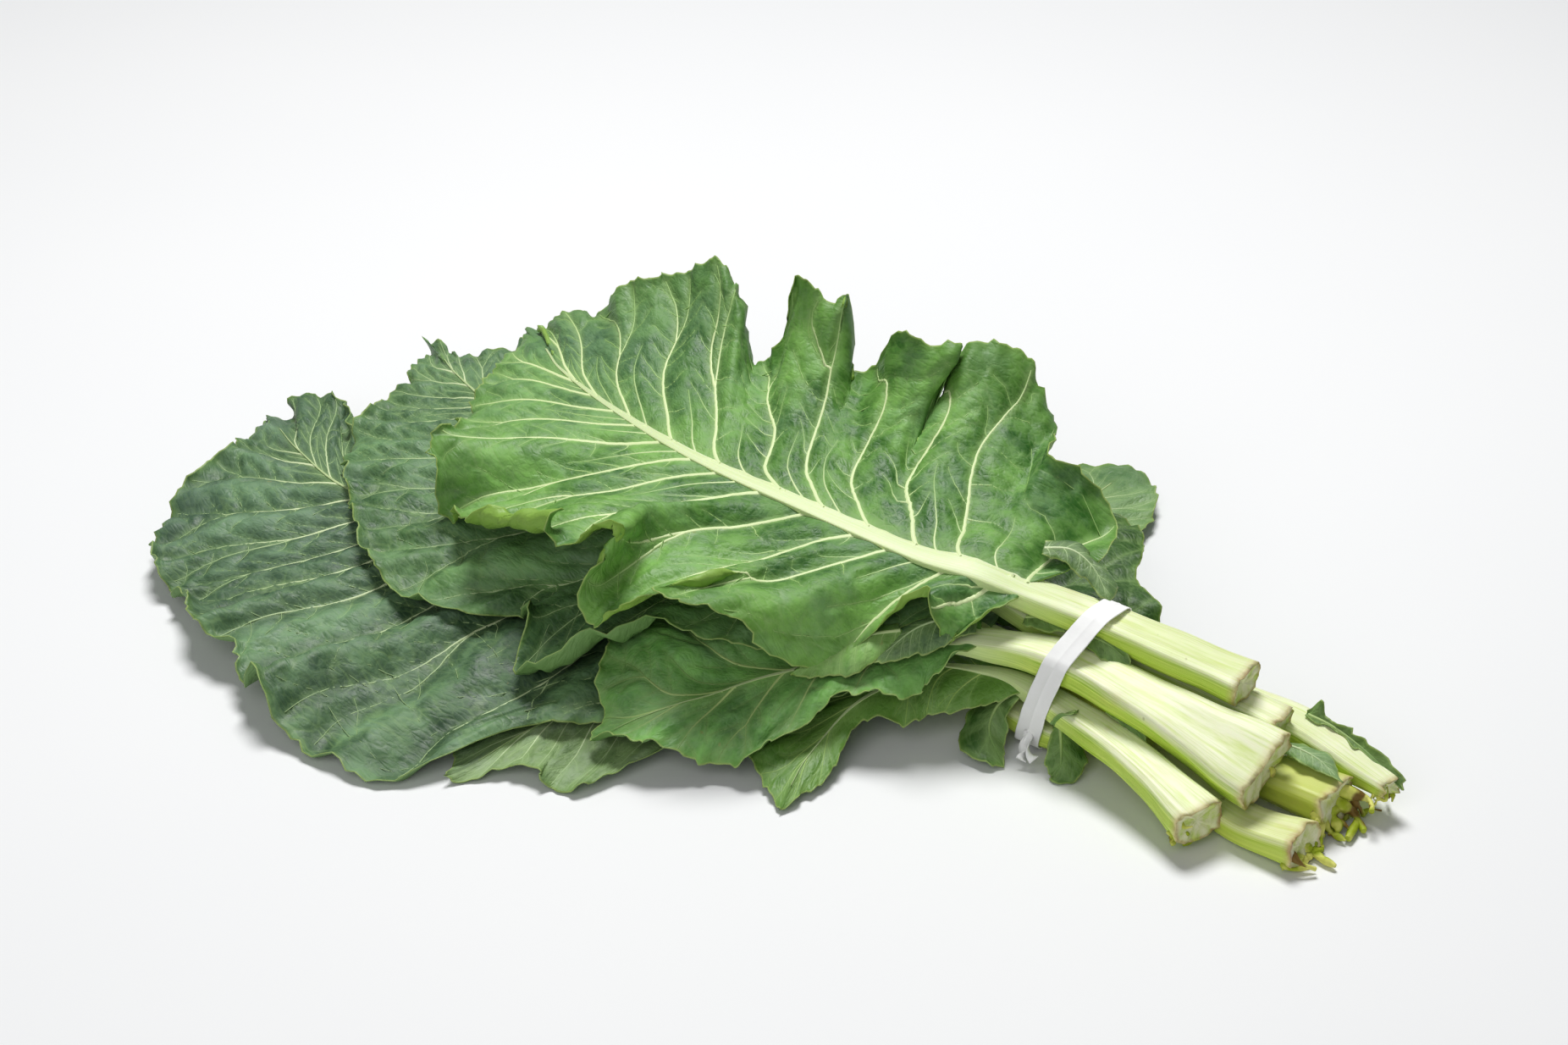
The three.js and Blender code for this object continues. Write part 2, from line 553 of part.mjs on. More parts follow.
// Points of the ribbon's four edges at every corner of the loop.
function tieBand(sections) {
  const inner = tieLoop(sections, TIE_CLEARANCE);
  const outer = tieLoop(sections, TIE_CLEARANCE + TIE_THICKNESS);
  const edge = ([y, z], shift) =>
    new THREE.Vector3(TIE_X + TIE_LEAN * (z - TIE_MIDDLE_Z) + shift, y, z);
  return inner.map((point, k) => [
    edge(point, -TIE_WIDTH / 2), edge(point, TIE_WIDTH / 2),
    edge(outer[k], TIE_WIDTH / 2), edge(outer[k], -TIE_WIDTH / 2),
  ]);
}

// A ring of sections joined end to start.
function loopSolid(sections) {
  const skin = new Skin();
  const numbers = sections.map((section) => section.map((point) => skin.add(point)));
  numbers.forEach((row, i) => {
    const following = numbers[(i + 1) % numbers.length];
    row.forEach((number, k) => {
      const next = (k + 1) % row.length;
      skin.quad(number, row[next], following[next], following[k]);
    });
  });
  return skin.solid();
}

// The two ends of the ribbon twisted together: a cross-shaped section that turns as it runs.
function tieTail() {
  const curve = new THREE.CatmullRomCurve3(TAIL_PATH.map((point) => new THREE.Vector3(...point)));
  const steps = 14;
  const frames = curve.computeFrenetFrames(steps);
  const rings = Array.from({ length: steps + 1 }, (_, i) => {
    const share = i / steps;
    const turn = TAIL_TWIST * Math.PI * share;
    const half = THREE.MathUtils.lerp(TAIL_WIDTHS[0], TAIL_WIDTHS[1], share) / 2;
    const thick = TIE_THICKNESS / 2;
    const corners = [];
    for (let arm = 0; arm < 4; arm += 1) {
      const angle = turn + (arm * Math.PI) / 2;
      for (const [out, aside] of [[half, -thick], [half, thick], [thick, thick]]) {
        corners.push([
          out * Math.cos(angle) - aside * Math.sin(angle),
          out * Math.sin(angle) + aside * Math.cos(angle),
        ]);
      }
    }
    return corners.map(([u, v]) => curve.getPoint(share)
      .addScaledVector(frames.normals[i], u).addScaledVector(frames.binormals[i], v));
  });
  return ringSolid(rings);
}

const bunch = new THREE.Group();
const heap = new HeightMap();
const ahead = (point) => point.x < -8;
const tied = [];

for (const leaf of LEAVES) {
  const blade = bladeRows(leaf, ...leaf.grid);
  const rings = ribRings(leaf, 30);
  const undersides = rings.map((ring) => ring.slice(RING_POINTS / 2));
  const under = blade.map((row) => row.map((point) => point.clone().setZ(point.z - BLADE_THICKNESS)));
  const bladeLift = heap.liftFor(under, ahead);
  const ribLift = heap.liftFor(undersides, ahead);
  const lift = bladeLift.map((value, k) => Math.max(value, ribLift[k]));
  const raise = (point, floor) => {
    const k = heap.index(point.x, point.y);
    const ramp = THREE.MathUtils.smoothstep(-point.x, 0, 28);
    point.z = Math.max(point.z + ramp * (k < 0 ? 0 : lift[k]), floor);
  };
  blade.flat().forEach((point) => raise(point, BLADE_THICKNESS));
  rings.flat().forEach((point) => raise(point, 0));
  tied.push(...underRibbon(rings));
  heap.cover(blade, 3);
  heap.cover(rings, 3);
  const solids = [ringSolid(rings), bladeSolid(blade, BLADE_THICKNESS)];
  for (const lobe of LOBES.filter((one) => one.on === leaf.name)) {
    solids.push(bladeSolid(bladeRows(lobe, 2, 0.4), BLADE_THICKNESS), ringSolid(ribRings(lobe, 10)));
  }
  const material = new THREE.MeshStandardMaterial({
    color: leaf.colour, roughness: 0.6, metalness: 0, side: THREE.DoubleSide,
  });
  const joined = wasm.Manifold.union(solids).decompose();
  joined.sort((one, other) => other.volume() - one.volume());
  bunch.add(meshOf(joined[0], leaf.name, material));
}

const tieSolid = loopSolid(tieBand(tied)).add(tieTail());
bunch.add(meshOf(tieSolid, "twist_tie", new THREE.MeshStandardMaterial({
  color: 0xf6f6f2, roughness: 0.55, metalness: 0,
})));

// Centre the bunch over the origin, standing on the ground.
const box = new THREE.Box3().setFromObject(bunch);
const middle = box.getCenter(new THREE.Vector3());
bunch.position.set(-middle.x, -middle.y, -box.min.z);
const part = new THREE.Group();
part.add(bunch);
export default part;
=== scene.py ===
# %% [markdown]
# # A bunch of collard greens
#
# Nine collard leaves lie on each other with their pale stalks held by a white twist tie. The
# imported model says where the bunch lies. This lesson grows the fine leaves there: ruffled
# blades with veins, toothed margins, ribbed stalks with torn ends, and the paper tie.

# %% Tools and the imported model
import math

import bpy
import numpy as np
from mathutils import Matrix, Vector
from mathutils.kdtree import KDTree


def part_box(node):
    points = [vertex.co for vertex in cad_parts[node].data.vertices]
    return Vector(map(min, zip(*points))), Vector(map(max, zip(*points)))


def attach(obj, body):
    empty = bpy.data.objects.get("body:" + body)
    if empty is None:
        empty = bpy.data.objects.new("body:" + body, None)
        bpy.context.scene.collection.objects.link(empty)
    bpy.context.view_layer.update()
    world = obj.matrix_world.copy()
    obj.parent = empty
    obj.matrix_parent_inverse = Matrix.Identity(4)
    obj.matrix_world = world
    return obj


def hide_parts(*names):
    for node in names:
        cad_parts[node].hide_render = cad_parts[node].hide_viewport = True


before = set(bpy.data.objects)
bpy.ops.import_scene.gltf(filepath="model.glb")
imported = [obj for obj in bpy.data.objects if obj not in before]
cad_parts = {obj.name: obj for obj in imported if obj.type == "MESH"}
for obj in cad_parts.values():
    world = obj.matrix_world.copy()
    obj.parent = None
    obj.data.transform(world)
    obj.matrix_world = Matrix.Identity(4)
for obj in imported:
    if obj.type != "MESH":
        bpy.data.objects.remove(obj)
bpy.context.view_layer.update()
MM = 0.001

# %% [markdown]
# ## Where the bunch is
#
# The leaves are drawn from the tie: x = 0 at the tie, butts towards +X, tips towards -X, in
# millimetres. The ribbon leans, so its highest edge tells where that drawing's zero lies in the
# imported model, and nothing has to be fitted by eye.

# %% The drawing's zero, read from the tie
TIE_X = 3.0
TIE_WIDTH = 9.5
TIE_THICKNESS = 0.6
TIE_LEAN = 0.28
TIE_MIDDLE_Z = 24.0
TIE_FAR_SIDE = 24.635
tie_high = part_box("twist_tie")[1]
tie_top_x = TIE_X + TIE_LEAN * (tie_high.z / MM - TIE_MIDDLE_Z) + TIE_WIDTH / 2
SHIFT = np.array([tie_high.x / MM - tie_top_x, tie_high.y / MM - TIE_FAR_SIDE, 0.0])
print("the drawing's zero stands at", SHIFT.round(2), "mm")

# %% [markdown]
# ## Nine leaves in numbers
#
# A leaf is a rib, a stalk section that changes along it, and a width and slope for each side.
# Sculpting nine leaves by hand would look as good, but numbers can be stacked, draped and
# changed. The list runs from the lowest leaf to the top one.

# %% The leaves
# How far a lateral vein swings from square across the rib towards the tip, in degrees.
FAN = [[0, 5], [0.3, 26], [0.55, 36], [0.75, 50], [0.88, 68], [1, 90]]
BLUNT_FAN = [[0, 5], [0.3, 26], [0.55, 36], [0.75, 42], [0.9, 52], [0.96, 66], [1, 90]]

# rib: points along its top. stalk: [share of the rib, width, depth]. start: bare stalk length.
# near, far: [share of the blade, width along the vein, slope at the rib, slope at the margin].
LEAVES = [
  {
    "name": "leaf_base_left",
    "rib": [[101, -13, 12.4], [80, -13.5, 10], [58, -9, 11], [30, -1.5, 11.5], [3, 0.5, 12],
      [-60, -16, 9], [-120, -38, 7], [-180, -60, 6], [-240, -82, 4.6], [-280, -96, 3.4],
      [-302, -104, 2.6]],
    "stalk": [[0, 18, 12.5], [0.05, 16, 10], [0.1, 14.5, 10.4], [0.24, 12, 10], [0.34, 9, 7], [0.6, 6, 5],
      [1, 2, 2]],
    "start": 135,
    "sweep_near": BLUNT_FAN,
    "sweep_far": BLUNT_FAN,
    "near": [[0, 5, -12, -6], [0.16, 40, -14, -4], [0.34, 58, -13, -3], [0.52, 60, -12, -3],
      [0.66, 66, -10, -2], [0.79, 58, -8, -3], [0.9, 42, -6, -3], [0.96, 31, -5, -3], [1, 24, -4, -2]],
    "far": [[0, 5, -12, -6], [0.16, 50, -14, -4], [0.32, 66, -13, -3], [0.5, 62, -12, -3],
      [0.65, 56, -10, -2], [0.78, 50, -8, -3], [0.9, 38, -6, -3], [0.96, 30, -5, -3], [1, 24, -4, -2]],
  },
  {
    "name": "leaf_base_near",
    "rib": [[14, -13.5, 11.5], [3, -12.5, 12], [-20, -15, 12], [-48, -28, 12], [-80, -50, 11],
      [-110, -74, 10], [-126, -98, 8], [-132, -124, 6], [-135, -143, 3]],
    "stalk": [[0, 10, 9], [0.06, 12, 10], [0.22, 9, 8], [0.65, 5, 4.5], [1, 2, 2]],
    "start": 48,
    "near": [[0, 4, -5, -5], [0.2, 10, -5, -5], [0.33, 15, -8, -5], [0.4, 32, -10, -4],
      [0.46, 49, -9, -3], [0.53, 60, -8, -6], [0.6, 58, -7, -8], [0.7, 46, -6, -5], [0.83, 26, -5, 0],
      [0.92, 20, -5, 5], [1, 14, -5, 10]],
    "far": [[0, 6, -5, -5], [0.2, 40, -10, -5], [0.4, 52, -9, -5], [0.6, 50, -8, -5], [0.75, 38, -6, 0],
      [0.9, 22, -3, 10], [1, 14, -5, 10]],
  },
  {
    "name": "leaf_base_far",
    "rib": [[58, 26, 11.3], [30, 21, 11.5], [3, 13.5, 12], [-16, 17, 12], [-38, 38, 12], [-56, 66, 11],
      [-70, 96, 9], [-78, 122, 7], [-81, 142, 5]],
    "stalk": [[0, 13, 10], [0.26, 12, 10], [0.45, 8, 7], [0.75, 5, 4], [1, 2, 2]],
    "start": 96,
    "sweep_near": BLUNT_FAN,
    "sweep_far": BLUNT_FAN,
    "near": [[0, 6, -5, -5], [0.25, 44, -12, -5], [0.5, 54, -11, -5], [0.7, 48, -10, -3],
      [0.85, 36, -8, -3], [0.95, 25, -6, -3], [1, 18, -5, -2]],
    "far": [[0, 6, -5, -5], [0.25, 26, -11, -5], [0.5, 32, -10, -3], [0.7, 33, -8, 12],
      [0.85, 28, -6, 18], [0.95, 22, -5, 0], [1, 18, -5, -2]],
  },
  {
    "name": "leaf_low_near",
    "rib": [[73, -29, 17.2], [35, -19, 22.2], [3, -14, 23.7], [-18, -14.5, 23.5], [-36, -22, 20],
      [-46, -38, 14], [-51, -60, 10], [-49, -78, 7], [-45, -90, 5]],
    "stalk": [[0, 19, 14], [0.12, 15, 11], [0.37, 12, 10], [0.5, 8, 7], [0.75, 4.5, 4], [1, 2, 2]],
    "start": 78,
    "near": [[0, 3, -20, -40], [0.08, 11, -25, -50], [0.2, 17, -25, -45], [0.3, 19, -20, -40],
      [0.455, 16, -15, -20], [0.546, 9, -10, 0], [0.637, 8, -10, -10], [0.728, 14, -10, -20],
      [0.837, 15, -10, -15], [1, 10, -8, -10]],
    "far": [[0, 3, -14, -8], [0.1, 7, -14, -8], [0.2, 12, -14, -8], [0.337, 34, -8, -5],
      [0.455, 44, -10, -5], [0.637, 38, -10, -5], [0.8, 23, -8, -5], [0.909, 15, -8, -10],
      [1, 10, -8, -10]],
  },
  {
    "name": "leaf_back",
    "rib": [[110, 26, 14], [80, 29, 21], [58, 28, 23.5], [30, 23, 24], [3, 14.2, 24], [-18, 17.5, 25],
      [-36, 25, 26], [-64, 40, 27], [-100, 60, 25], [-140, 80, 19], [-170, 98, 11]],
    "stalk": [[0, 10, 6], [0.06, 15, 10], [0.15, 15, 11], [0.36, 12, 10], [0.5, 8, 7], [0.75, 5, 4],
      [1, 2, 2]],
    "start": 128,
    "sweep_near": BLUNT_FAN,
    "sweep_far": [[0, -36], [0.1, -24], [0.22, -2], [0.4, 22], [0.6, 36], [0.8, 50], [0.93, 66], [1, 90]],
    "near": [[0, 4, -10, 0], [0.12, 8, -10, -5], [0.25, 44, -8, -5], [0.4, 60, -8, -5], [0.55, 60, -8, 0],
      [0.75, 46, -8, -10], [0.9, 30, -8, -5], [1, 24, -8, -10]],
    "far": [[0, 33, 0, -6], [0.05, 38, 0, -10], [0.1, 42, 5, 0], [0.16, 42, 5, 0], [0.24, 56, 5, -10],
      [0.36, 62, 0, -20], [0.5, 54, 0, 5], [0.67, 48, 0, -15], [0.84, 34, -5, 0], [1, 24, -8, -10]],
  },
  {
    "name": "leaf_left",
    "rib": [[99, 10, 16.6], [58, 9, 15.5], [30, 8.6, 20.6], [3, 1, 23.7], [-50, -10, 26], [-100, -26, 27],
      [-160, -46, 28], [-220, -64, 28], [-270, -71, 26], [-312, -58, 22], [-338, -44, 16]],
    "stalk": [[0, 20, 14], [0.08, 16, 12], [0.22, 12, 10], [0.32, 10, 9], [0.6, 6, 5], [0.85, 4, 3],
      [1, 2, 2]],
    "start": 130,
    "sweep_near": [[0, 5], [0.25, 8], [0.35, 14], [0.45, 34], [0.6, 48], [0.75, 52], [0.88, 66], [1, 90]],
    "near": [[0, 8, -10, -10], [0.12, 44, -12, -10], [0.22, 64, -12, -10], [0.33, 82, -12, -10],
      [0.355, 92, -12, -10], [0.375, 124, -12, -11], [0.39, 134, -12, -12], [0.42, 134, -11, -12],
      [0.46, 131, -9, 0], [0.485, 124, -9, -5], [0.52, 117, -9, -12], [0.56, 112, -8, 0],
      [0.62, 101, -8, -15], [0.72, 86, -8, -15], [0.79, 66, -8, -10], [0.84, 48, -6, -8],
      [0.92, 34, -5, -5], [1, 26, -5, -5]],
    "far": [[0, 8, -5, 0], [0.15, 50, -8, 0], [0.3, 72, -6, 5], [0.5, 72, -5, 0], [0.65, 64, -3, 5],
      [0.76, 58, -3, 0], [0.83, 63, 0, 5], [0.89, 56, 0, 10], [0.95, 36, 0, 0], [1, 26, -5, -5]],
  },
  {
    "name": "leaf_middle_near",
    "rib": [[82, -4.5, 27.8], [58, -5.5, 32], [40, -6.5, 34.8], [3, -9.5, 39], [-20, -16, 37],
      [-45, -34, 31], [-68, -58, 25], [-82, -78, 20], [-94, -98, 15], [-104, -110, 11]],
    "stalk": [[0, 30, 14], [0.1, 23, 14], [0.18, 19, 13], [0.33, 16, 12], [0.44, 12, 10], [0.7, 6, 5],
      [1, 2, 2]],
    "roll": [[0, 25], [0.1, 22], [0.18, 14], [0.33, 0], [1, 0]],
    "start": 108,
    "near": [[0, 5, -10, -20], [0.08, 14, -20, -45], [0.16, 18, -20, -50], [0.25, 19, -18, -40],
      [0.34, 16, -10, -15], [0.42, 26, -15, -35], [0.55, 33, -15, -30], [0.67, 28, -15, -35],
      [0.78, 22, -10, -25], [0.9, 16, -10, -20], [1, 9, -10, -15]],
    "far": [[0, 10, -4, -4], [0.15, 40, -10, -10], [0.3, 60, -12, -10], [0.5, 58, -12, -8],
      [0.66, 51, -10, -8], [0.76, 38, -8, -12], [0.88, 21, -8, -15], [1, 9, -10, -15]],
  },
  {
    "name": "leaf_second",
    "rib": [[73, 17, 29], [58, 16, 31], [30, 13.5, 34.3], [3, 9, 36.5], [-50, -4, 43], [-100, -20, 47],
      [-150, -28, 48], [-200, -26, 47], [-250, -14, 43], [-290, 4, 37], [-312, 18, 32]],
    "stalk": [[0, 15, 11], [0.08, 14, 11], [0.18, 13, 11], [0.3, 10, 9], [0.6, 7, 5], [0.85, 4, 3],
      [1, 2, 2]],
    "start": 102,
    "sweep_near": [[0, 10], [0.2, 18], [0.35, 26], [0.5, 42], [0.7, 52], [0.86, 66], [1, 90]],
    "near": [[0, 8, -10, -20], [0.08, 26, -15, -30], [0.15, 46, -20, -20], [0.26, 62, -20, -14],
      [0.295, 88, -21, -14], [0.33, 99, -22, -22], [0.355, 82, -22, -12], [0.385, 79, -22, -25],
      [0.42, 97, -20, -18], [0.455, 101, -19, -10], [0.51, 96, -17, -4], [0.615, 84, -13, -22],
      [0.71, 70, -8, -20], [0.81, 46, -8, -10], [0.91, 32, -6, -5], [1, 28, -5, 0]],
    "far": [[0, 10, 0, 0], [0.1, 50, 0, 5], [0.25, 82, 0, 10], [0.4, 80, 0, 5], [0.55, 84, 0, 15],
      [0.68, 72, 0, 5], [0.8, 50, 0, 10], [0.89, 34, 0, 0], [1, 28, -5, 0]],
  },
  {
    "name": "leaf_top",
    "rib": [[61, 13.5, 42], [30, 9, 45.8], [3, 4.5, 49], [-50, -11, 56], [-100, -17, 60], [-150, -17, 61],
      [-200, -7, 59], [-236, 6, 56], [-254, 17, 54]],
    "stalk": [[0, 19, 11], [0.18, 15, 10.5], [0.26, 14, 10], [0.4, 10, 8], [0.6, 7, 6], [0.85, 4, 3.5],
      [1, 2, 2]],
    "start": 80,
    "sweep_near": [[0, 5], [0.12, 24], [0.35, 27], [0.55, 32], [0.72, 42], [0.86, 66], [1, 90]],
    "sweep_far": [[0, -45], [0.05, -12], [0.15, 8], [0.3, 27], [0.5, 36], [0.7, 50], [0.85, 72], [1, 90]],
    "near": [[0, 8, -10, -20], [0.024, 20, -20, -60], [0.046, 29, -20, -70], [0.075, 28, -10, 0],
      [0.108, 36, -15, -50], [0.13, 55, -20, -60], [0.15, 64, -15, -35], [0.17, 69, -10, -10],
      [0.225, 83, -12, -16], [0.24, 66, -10, -12], [0.255, 64, -10, -14], [0.27, 78, -13, -22],
      [0.32, 96, -16, -43], [0.355, 97, -16, -43], [0.385, 87, -12, -18], [0.405, 82, -8, 0],
      [0.43, 84, -10, -18], [0.465, 93, -10, -10], [0.5, 96, -10, -8], [0.525, 87, -9, -12],
      [0.54, 84, -8, -15], [0.59, 87, -10, -40], [0.615, 84, -10, -15], [0.645, 77, -5, 10],
      [0.68, 67, -5, 0], [0.74, 57, -5, -15], [0.8, 49, -5, -20], [0.9, 38, -5, -15], [1, 32, -5, -10]],
    "far": [[0, 26, 10, 10], [0.023, 49, 5, 0], [0.046, 57, 10, 20], [0.068, 54, 10, 50],
      [0.088, 75, 10, 20], [0.13, 92, 15, 30], [0.16, 91, 15, 38], [0.19, 86, 15, 42],
      [0.208, 76, 12, 28], [0.218, 71, 10, 20], [0.23, 86, 10, 66], [0.25, 80, 10, 62],
      [0.272, 83, 10, 64], [0.288, 73, 10, 22], [0.305, 70, 10, 16], [0.322, 73, 10, 24],
      [0.336, 91, 10, 74], [0.352, 85, 10, 72], [0.38, 88, 10, 75], [0.402, 90, 10, 74],
      [0.413, 77, 10, 40], [0.43, 69, 10, 12], [0.472, 65, 10, 6], [0.49, 71, 12, 22],
      [0.505, 81, 15, 40], [0.53, 86, 15, 46], [0.569, 87, 15, 45], [0.62, 81, 15, 36],
      [0.668, 75, 15, 30], [0.736, 65, 15, 26], [0.768, 61, 10, 4], [0.821, 56, 10, 10],
      [0.907, 44, 5, -5], [1, 32, -5, -10]],
  },
]

# Small lobes and tatters of blade on the stalks are drawn as little leaves of their own.
LOBES = []


def add_lobe(on, like, rib, near, far, **own):
    """Lists a lobe: the leaf that carries it, the leaf whose green it has, and its tables."""
    number = len(LOBES)
    LOBES.append({
        "name": f"{on}_lobe_{number + 1}", "on": on, "like": like, "rib": rib, "near": near, "far": far,
        "seed": 60 + number, "start": 0.5, "stalk": None, "rows": 34, "columns": 10, "pucker": 0.5,
        "ruffle": 0.8, "swell": 0.0, "tooth": 0.9, "tooth_spacing": 4.5, "vein_spacing": 5.5,
        "vein_size": 0.42, "vein_least": 2, "hook_near": 1.0, "hook_far": 1.0, "vein_weave": 0.4, **own})


add_lobe("leaf_low_near", "leaf_back", [[-9, -15.5, 20], [-13, -21, 15.5], [-12, -27, 9], [-5, -30, 2.5]],
         [[0, 3, -10, -20], [0.4, 7, -10, -30], [1, 3, 0, 0]], [[0, 3, 10, 0], [0.35, 11, -5, -30],
         [0.7, 10, 0, 10], [1, 4, 0, 0]])
add_lobe("leaf_low_near", "leaf_back", [[9, -16.5, 15], [13, -21, 9.5], [15, -24, 5], [14.5, -26, 1.5]],
         [[0, 5, -20, -30], [0.4, 10, -10, -20], [1, 3, 0, 0]], [[0, 3, -20, -30], [0.5, 6, -10, -20],
         [1, 3, 0, 0]])
add_lobe("leaf_left", "leaf_second", [[69, 13.5, 17], [77, 15, 19.6], [88, 14, 20], [97.5, 11, 18.6]],
         [[0, 2, 0, -20], [0.45, 5.5, 0, -30], [1, 3.2, 0, -10]], [[0, 2, -10, -30], [0.5, 5.5, -10, -40],
         [1, 3.2, 0, -10]], tooth=0.4)
add_lobe("leaf_back", "leaf_back", [[73, 30.5, 22.6], [82, 31.8, 21], [92, 31.4, 18.6], [102, 29.8, 15.8],
         [111.5, 28, 11.5]], [[0, 1, 40, 50], [0.07, 6, 60, 60], [0.14, 2, 50, 50], [0.5, 2.4, 50, 50],
         [0.85, 3, 40, 40], [1, 1.5, 20, 20]], [[0, 1, 0, 0], [0.5, 1.2, 0, -20], [1, 1.2, 0, -10]],
         tooth=2.0, tooth_spacing=7.5, rows=60, wander=0.4)
add_lobe("leaf_top", "leaf_back", [[3, -2.5, 41], [9, -2.5, 42.6], [16, -1.5, 41.6], [23, -1, 38.6]],
         [[0, 2, 20, 30], [0.5, 4, 30, 40], [1, 2, 0, 0]], [[0, 3, -40, -60], [0.6, 5.5, -30, -50],
         [1, 3, -10, -20]])
add_lobe("leaf_top", "leaf_back", [[-16, -4, 40.5], [-9, -3.5, 42.5], [-2, -3, 41]], [[0, 3, 0, 0],
         [0.5, 5, 10, 20], [1, 2, 0, 0]], [[0, 3, -20, -40], [0.5, 4.5, -20, -50], [1, 2, 0, 0]])
add_lobe("leaf_low_near", "leaf_back", [[24, -11.5, 25.5], [31, -12.5, 25], [40, -14, 21]],
         [[0, 2, 40, 60], [0.25, 6, 60, 70], [0.6, 2.5, 40, 50], [1, 1.5, 0, 0]], [[0, 2, -30, -50],
         [0.5, 3.5, -40, -60], [1, 1.5, 0, 0]])
add_lobe("leaf_low_near", "leaf_back", [[17, -18.5, 24.5], [13, -20, 22], [10, -20.5, 18.5]],
         [[0, 2, 10, 30], [0.5, 3.4, 30, 50], [1, 2, 0, 0]], [[0, 2, -30, -50], [0.5, 3.4, -40, -60],
         [1, 2, 0, 0]])
add_lobe("leaf_top", "leaf_left", [[-22, 13, 57], [-13, 17, 58], [-4, 16.5, 55.5], [6, 12, 50]],
         [[0, 3, 20, -30], [0.25, 8, 10, -70], [0.45, 5, 10, -60], [0.7, 8, 10, -70], [1, 3, 0, -40]],
         [[0, 4, 10, -20], [0.3, 8, 0, -60], [0.6, 6, 0, -50], [1, 3, 0, -30]], rows=60)
add_lobe("leaf_middle_near", "leaf_left", [[-25, -17, 41], [-32, -23, 42.5], [-39, -32, 40.5],
         [-44, -43, 34]], [[0, 5, -10, -40], [0.35, 13, -10, -70], [0.6, 9, -20, -50], [1, 5, 0, -20]],
         [[0, 4, -20, -50], [0.4, 9, -10, -50], [0.7, 12, -10, -40], [1, 5, 0, -20]], rows=60)
add_lobe("leaf_middle_near", "leaf_top", [[-44, -33, 38], [-52, -42, 37], [-59, -52, 33],
         [-65, -62, 28.5]], [[0, 6, -20, -50], [0.4, 12, -20, -60], [0.7, 9, -20, -40], [1, 4, 0, -20]],
         [[0, 6, -10, -30], [0.4, 10, -10, -40], [0.8, 7, -10, -40], [1, 4, 0, -20]], rows=60)
print(len(LEAVES), "leaves and", len(LOBES), "small lobes are listed")

# %% [markdown]
# ## Curves through a few values
#
# Widths and slopes change smoothly along a leaf, so each table is read as a curve through its
# rows. numpy reads hundreds of places at once, which keeps nine fine leaves quick.

# %% Reading a table as a smooth curve
def smooth(table, places, column):
    rows = np.asarray(table, float)
    x, y = rows[:, 0], rows[:, column]
    places = np.asarray(places, float)
    slopes = np.empty(len(x))
    slopes[1:-1] = (y[2:] - y[:-2]) / (x[2:] - x[:-2])
    slopes[0] = (y[1] - y[0]) / (x[1] - x[0])
    slopes[-1] = (y[-1] - y[-2]) / (x[-1] - x[-2])
    k = np.clip(np.searchsorted(x, places, side="right") - 1, 0, len(x) - 2)
    span = x[k + 1] - x[k]
    t = np.clip((places - x[k]) / span, 0, 1)
    return ((2 * t**3 - 3 * t**2 + 1) * y[k] + (t**3 - 2 * t**2 + t) * span * slopes[k]
            + (3 * t**2 - 2 * t**3) * y[k + 1] + (t**3 - t**2) * span * slopes[k + 1])


def soft_step(value, low, high):
    t = np.clip((np.asarray(value, float) - low) / (high - low), 0, 1)
    return t * t * (3 - 2 * t)


def unit(vectors):
    return vectors / np.maximum(np.linalg.norm(vectors, axis=-1, keepdims=True), 1e-9)


def waves(places, random, lengths):
    """Uneven waves from -1 to 1 along places: sines of several lengths, each with its own start."""
    total = np.zeros(np.shape(places))
    for length in lengths:
        total = total + np.sin(2 * np.pi * (places / length + random.random()))
    return total / len(lengths)


# %% The rib and the directions on it
def rib_stations(leaf):
    rib = np.array(leaf["rib"], float)
    steps = np.linalg.norm(np.diff(rib, axis=0), axis=1)
    return np.column_stack([np.concatenate([[0], np.cumsum(steps)]), rib])


def on_rib(stations, lengths):
    end = stations[-1, 0]

    def place(where):
        return np.stack([smooth(stations, where, column) for column in (1, 2, 3)], axis=-1)

    along = unit(place(np.minimum(lengths + 0.5, end)) - place(np.maximum(lengths - 0.5, 0)))
    side = unit(np.cross([0.0, 0.0, 1.0], along))
    return place(lengths), along, side, np.cross(along, side)


# %% [markdown]
# ## How a blade grows from its rib
#
# A collard blade is a fan of side veins. Each place on it is a share of the way along the rib
# and a distance out along the vein there, so the whole blade is one grid. Near the margin a
# blade can lean along the rib and curl up or under, which makes its pleats and rolled edges.

# %% One side of a blade
LEVEL = [[0, 0, 10], [1, 0, 10]]
BEND_STEPS = 120


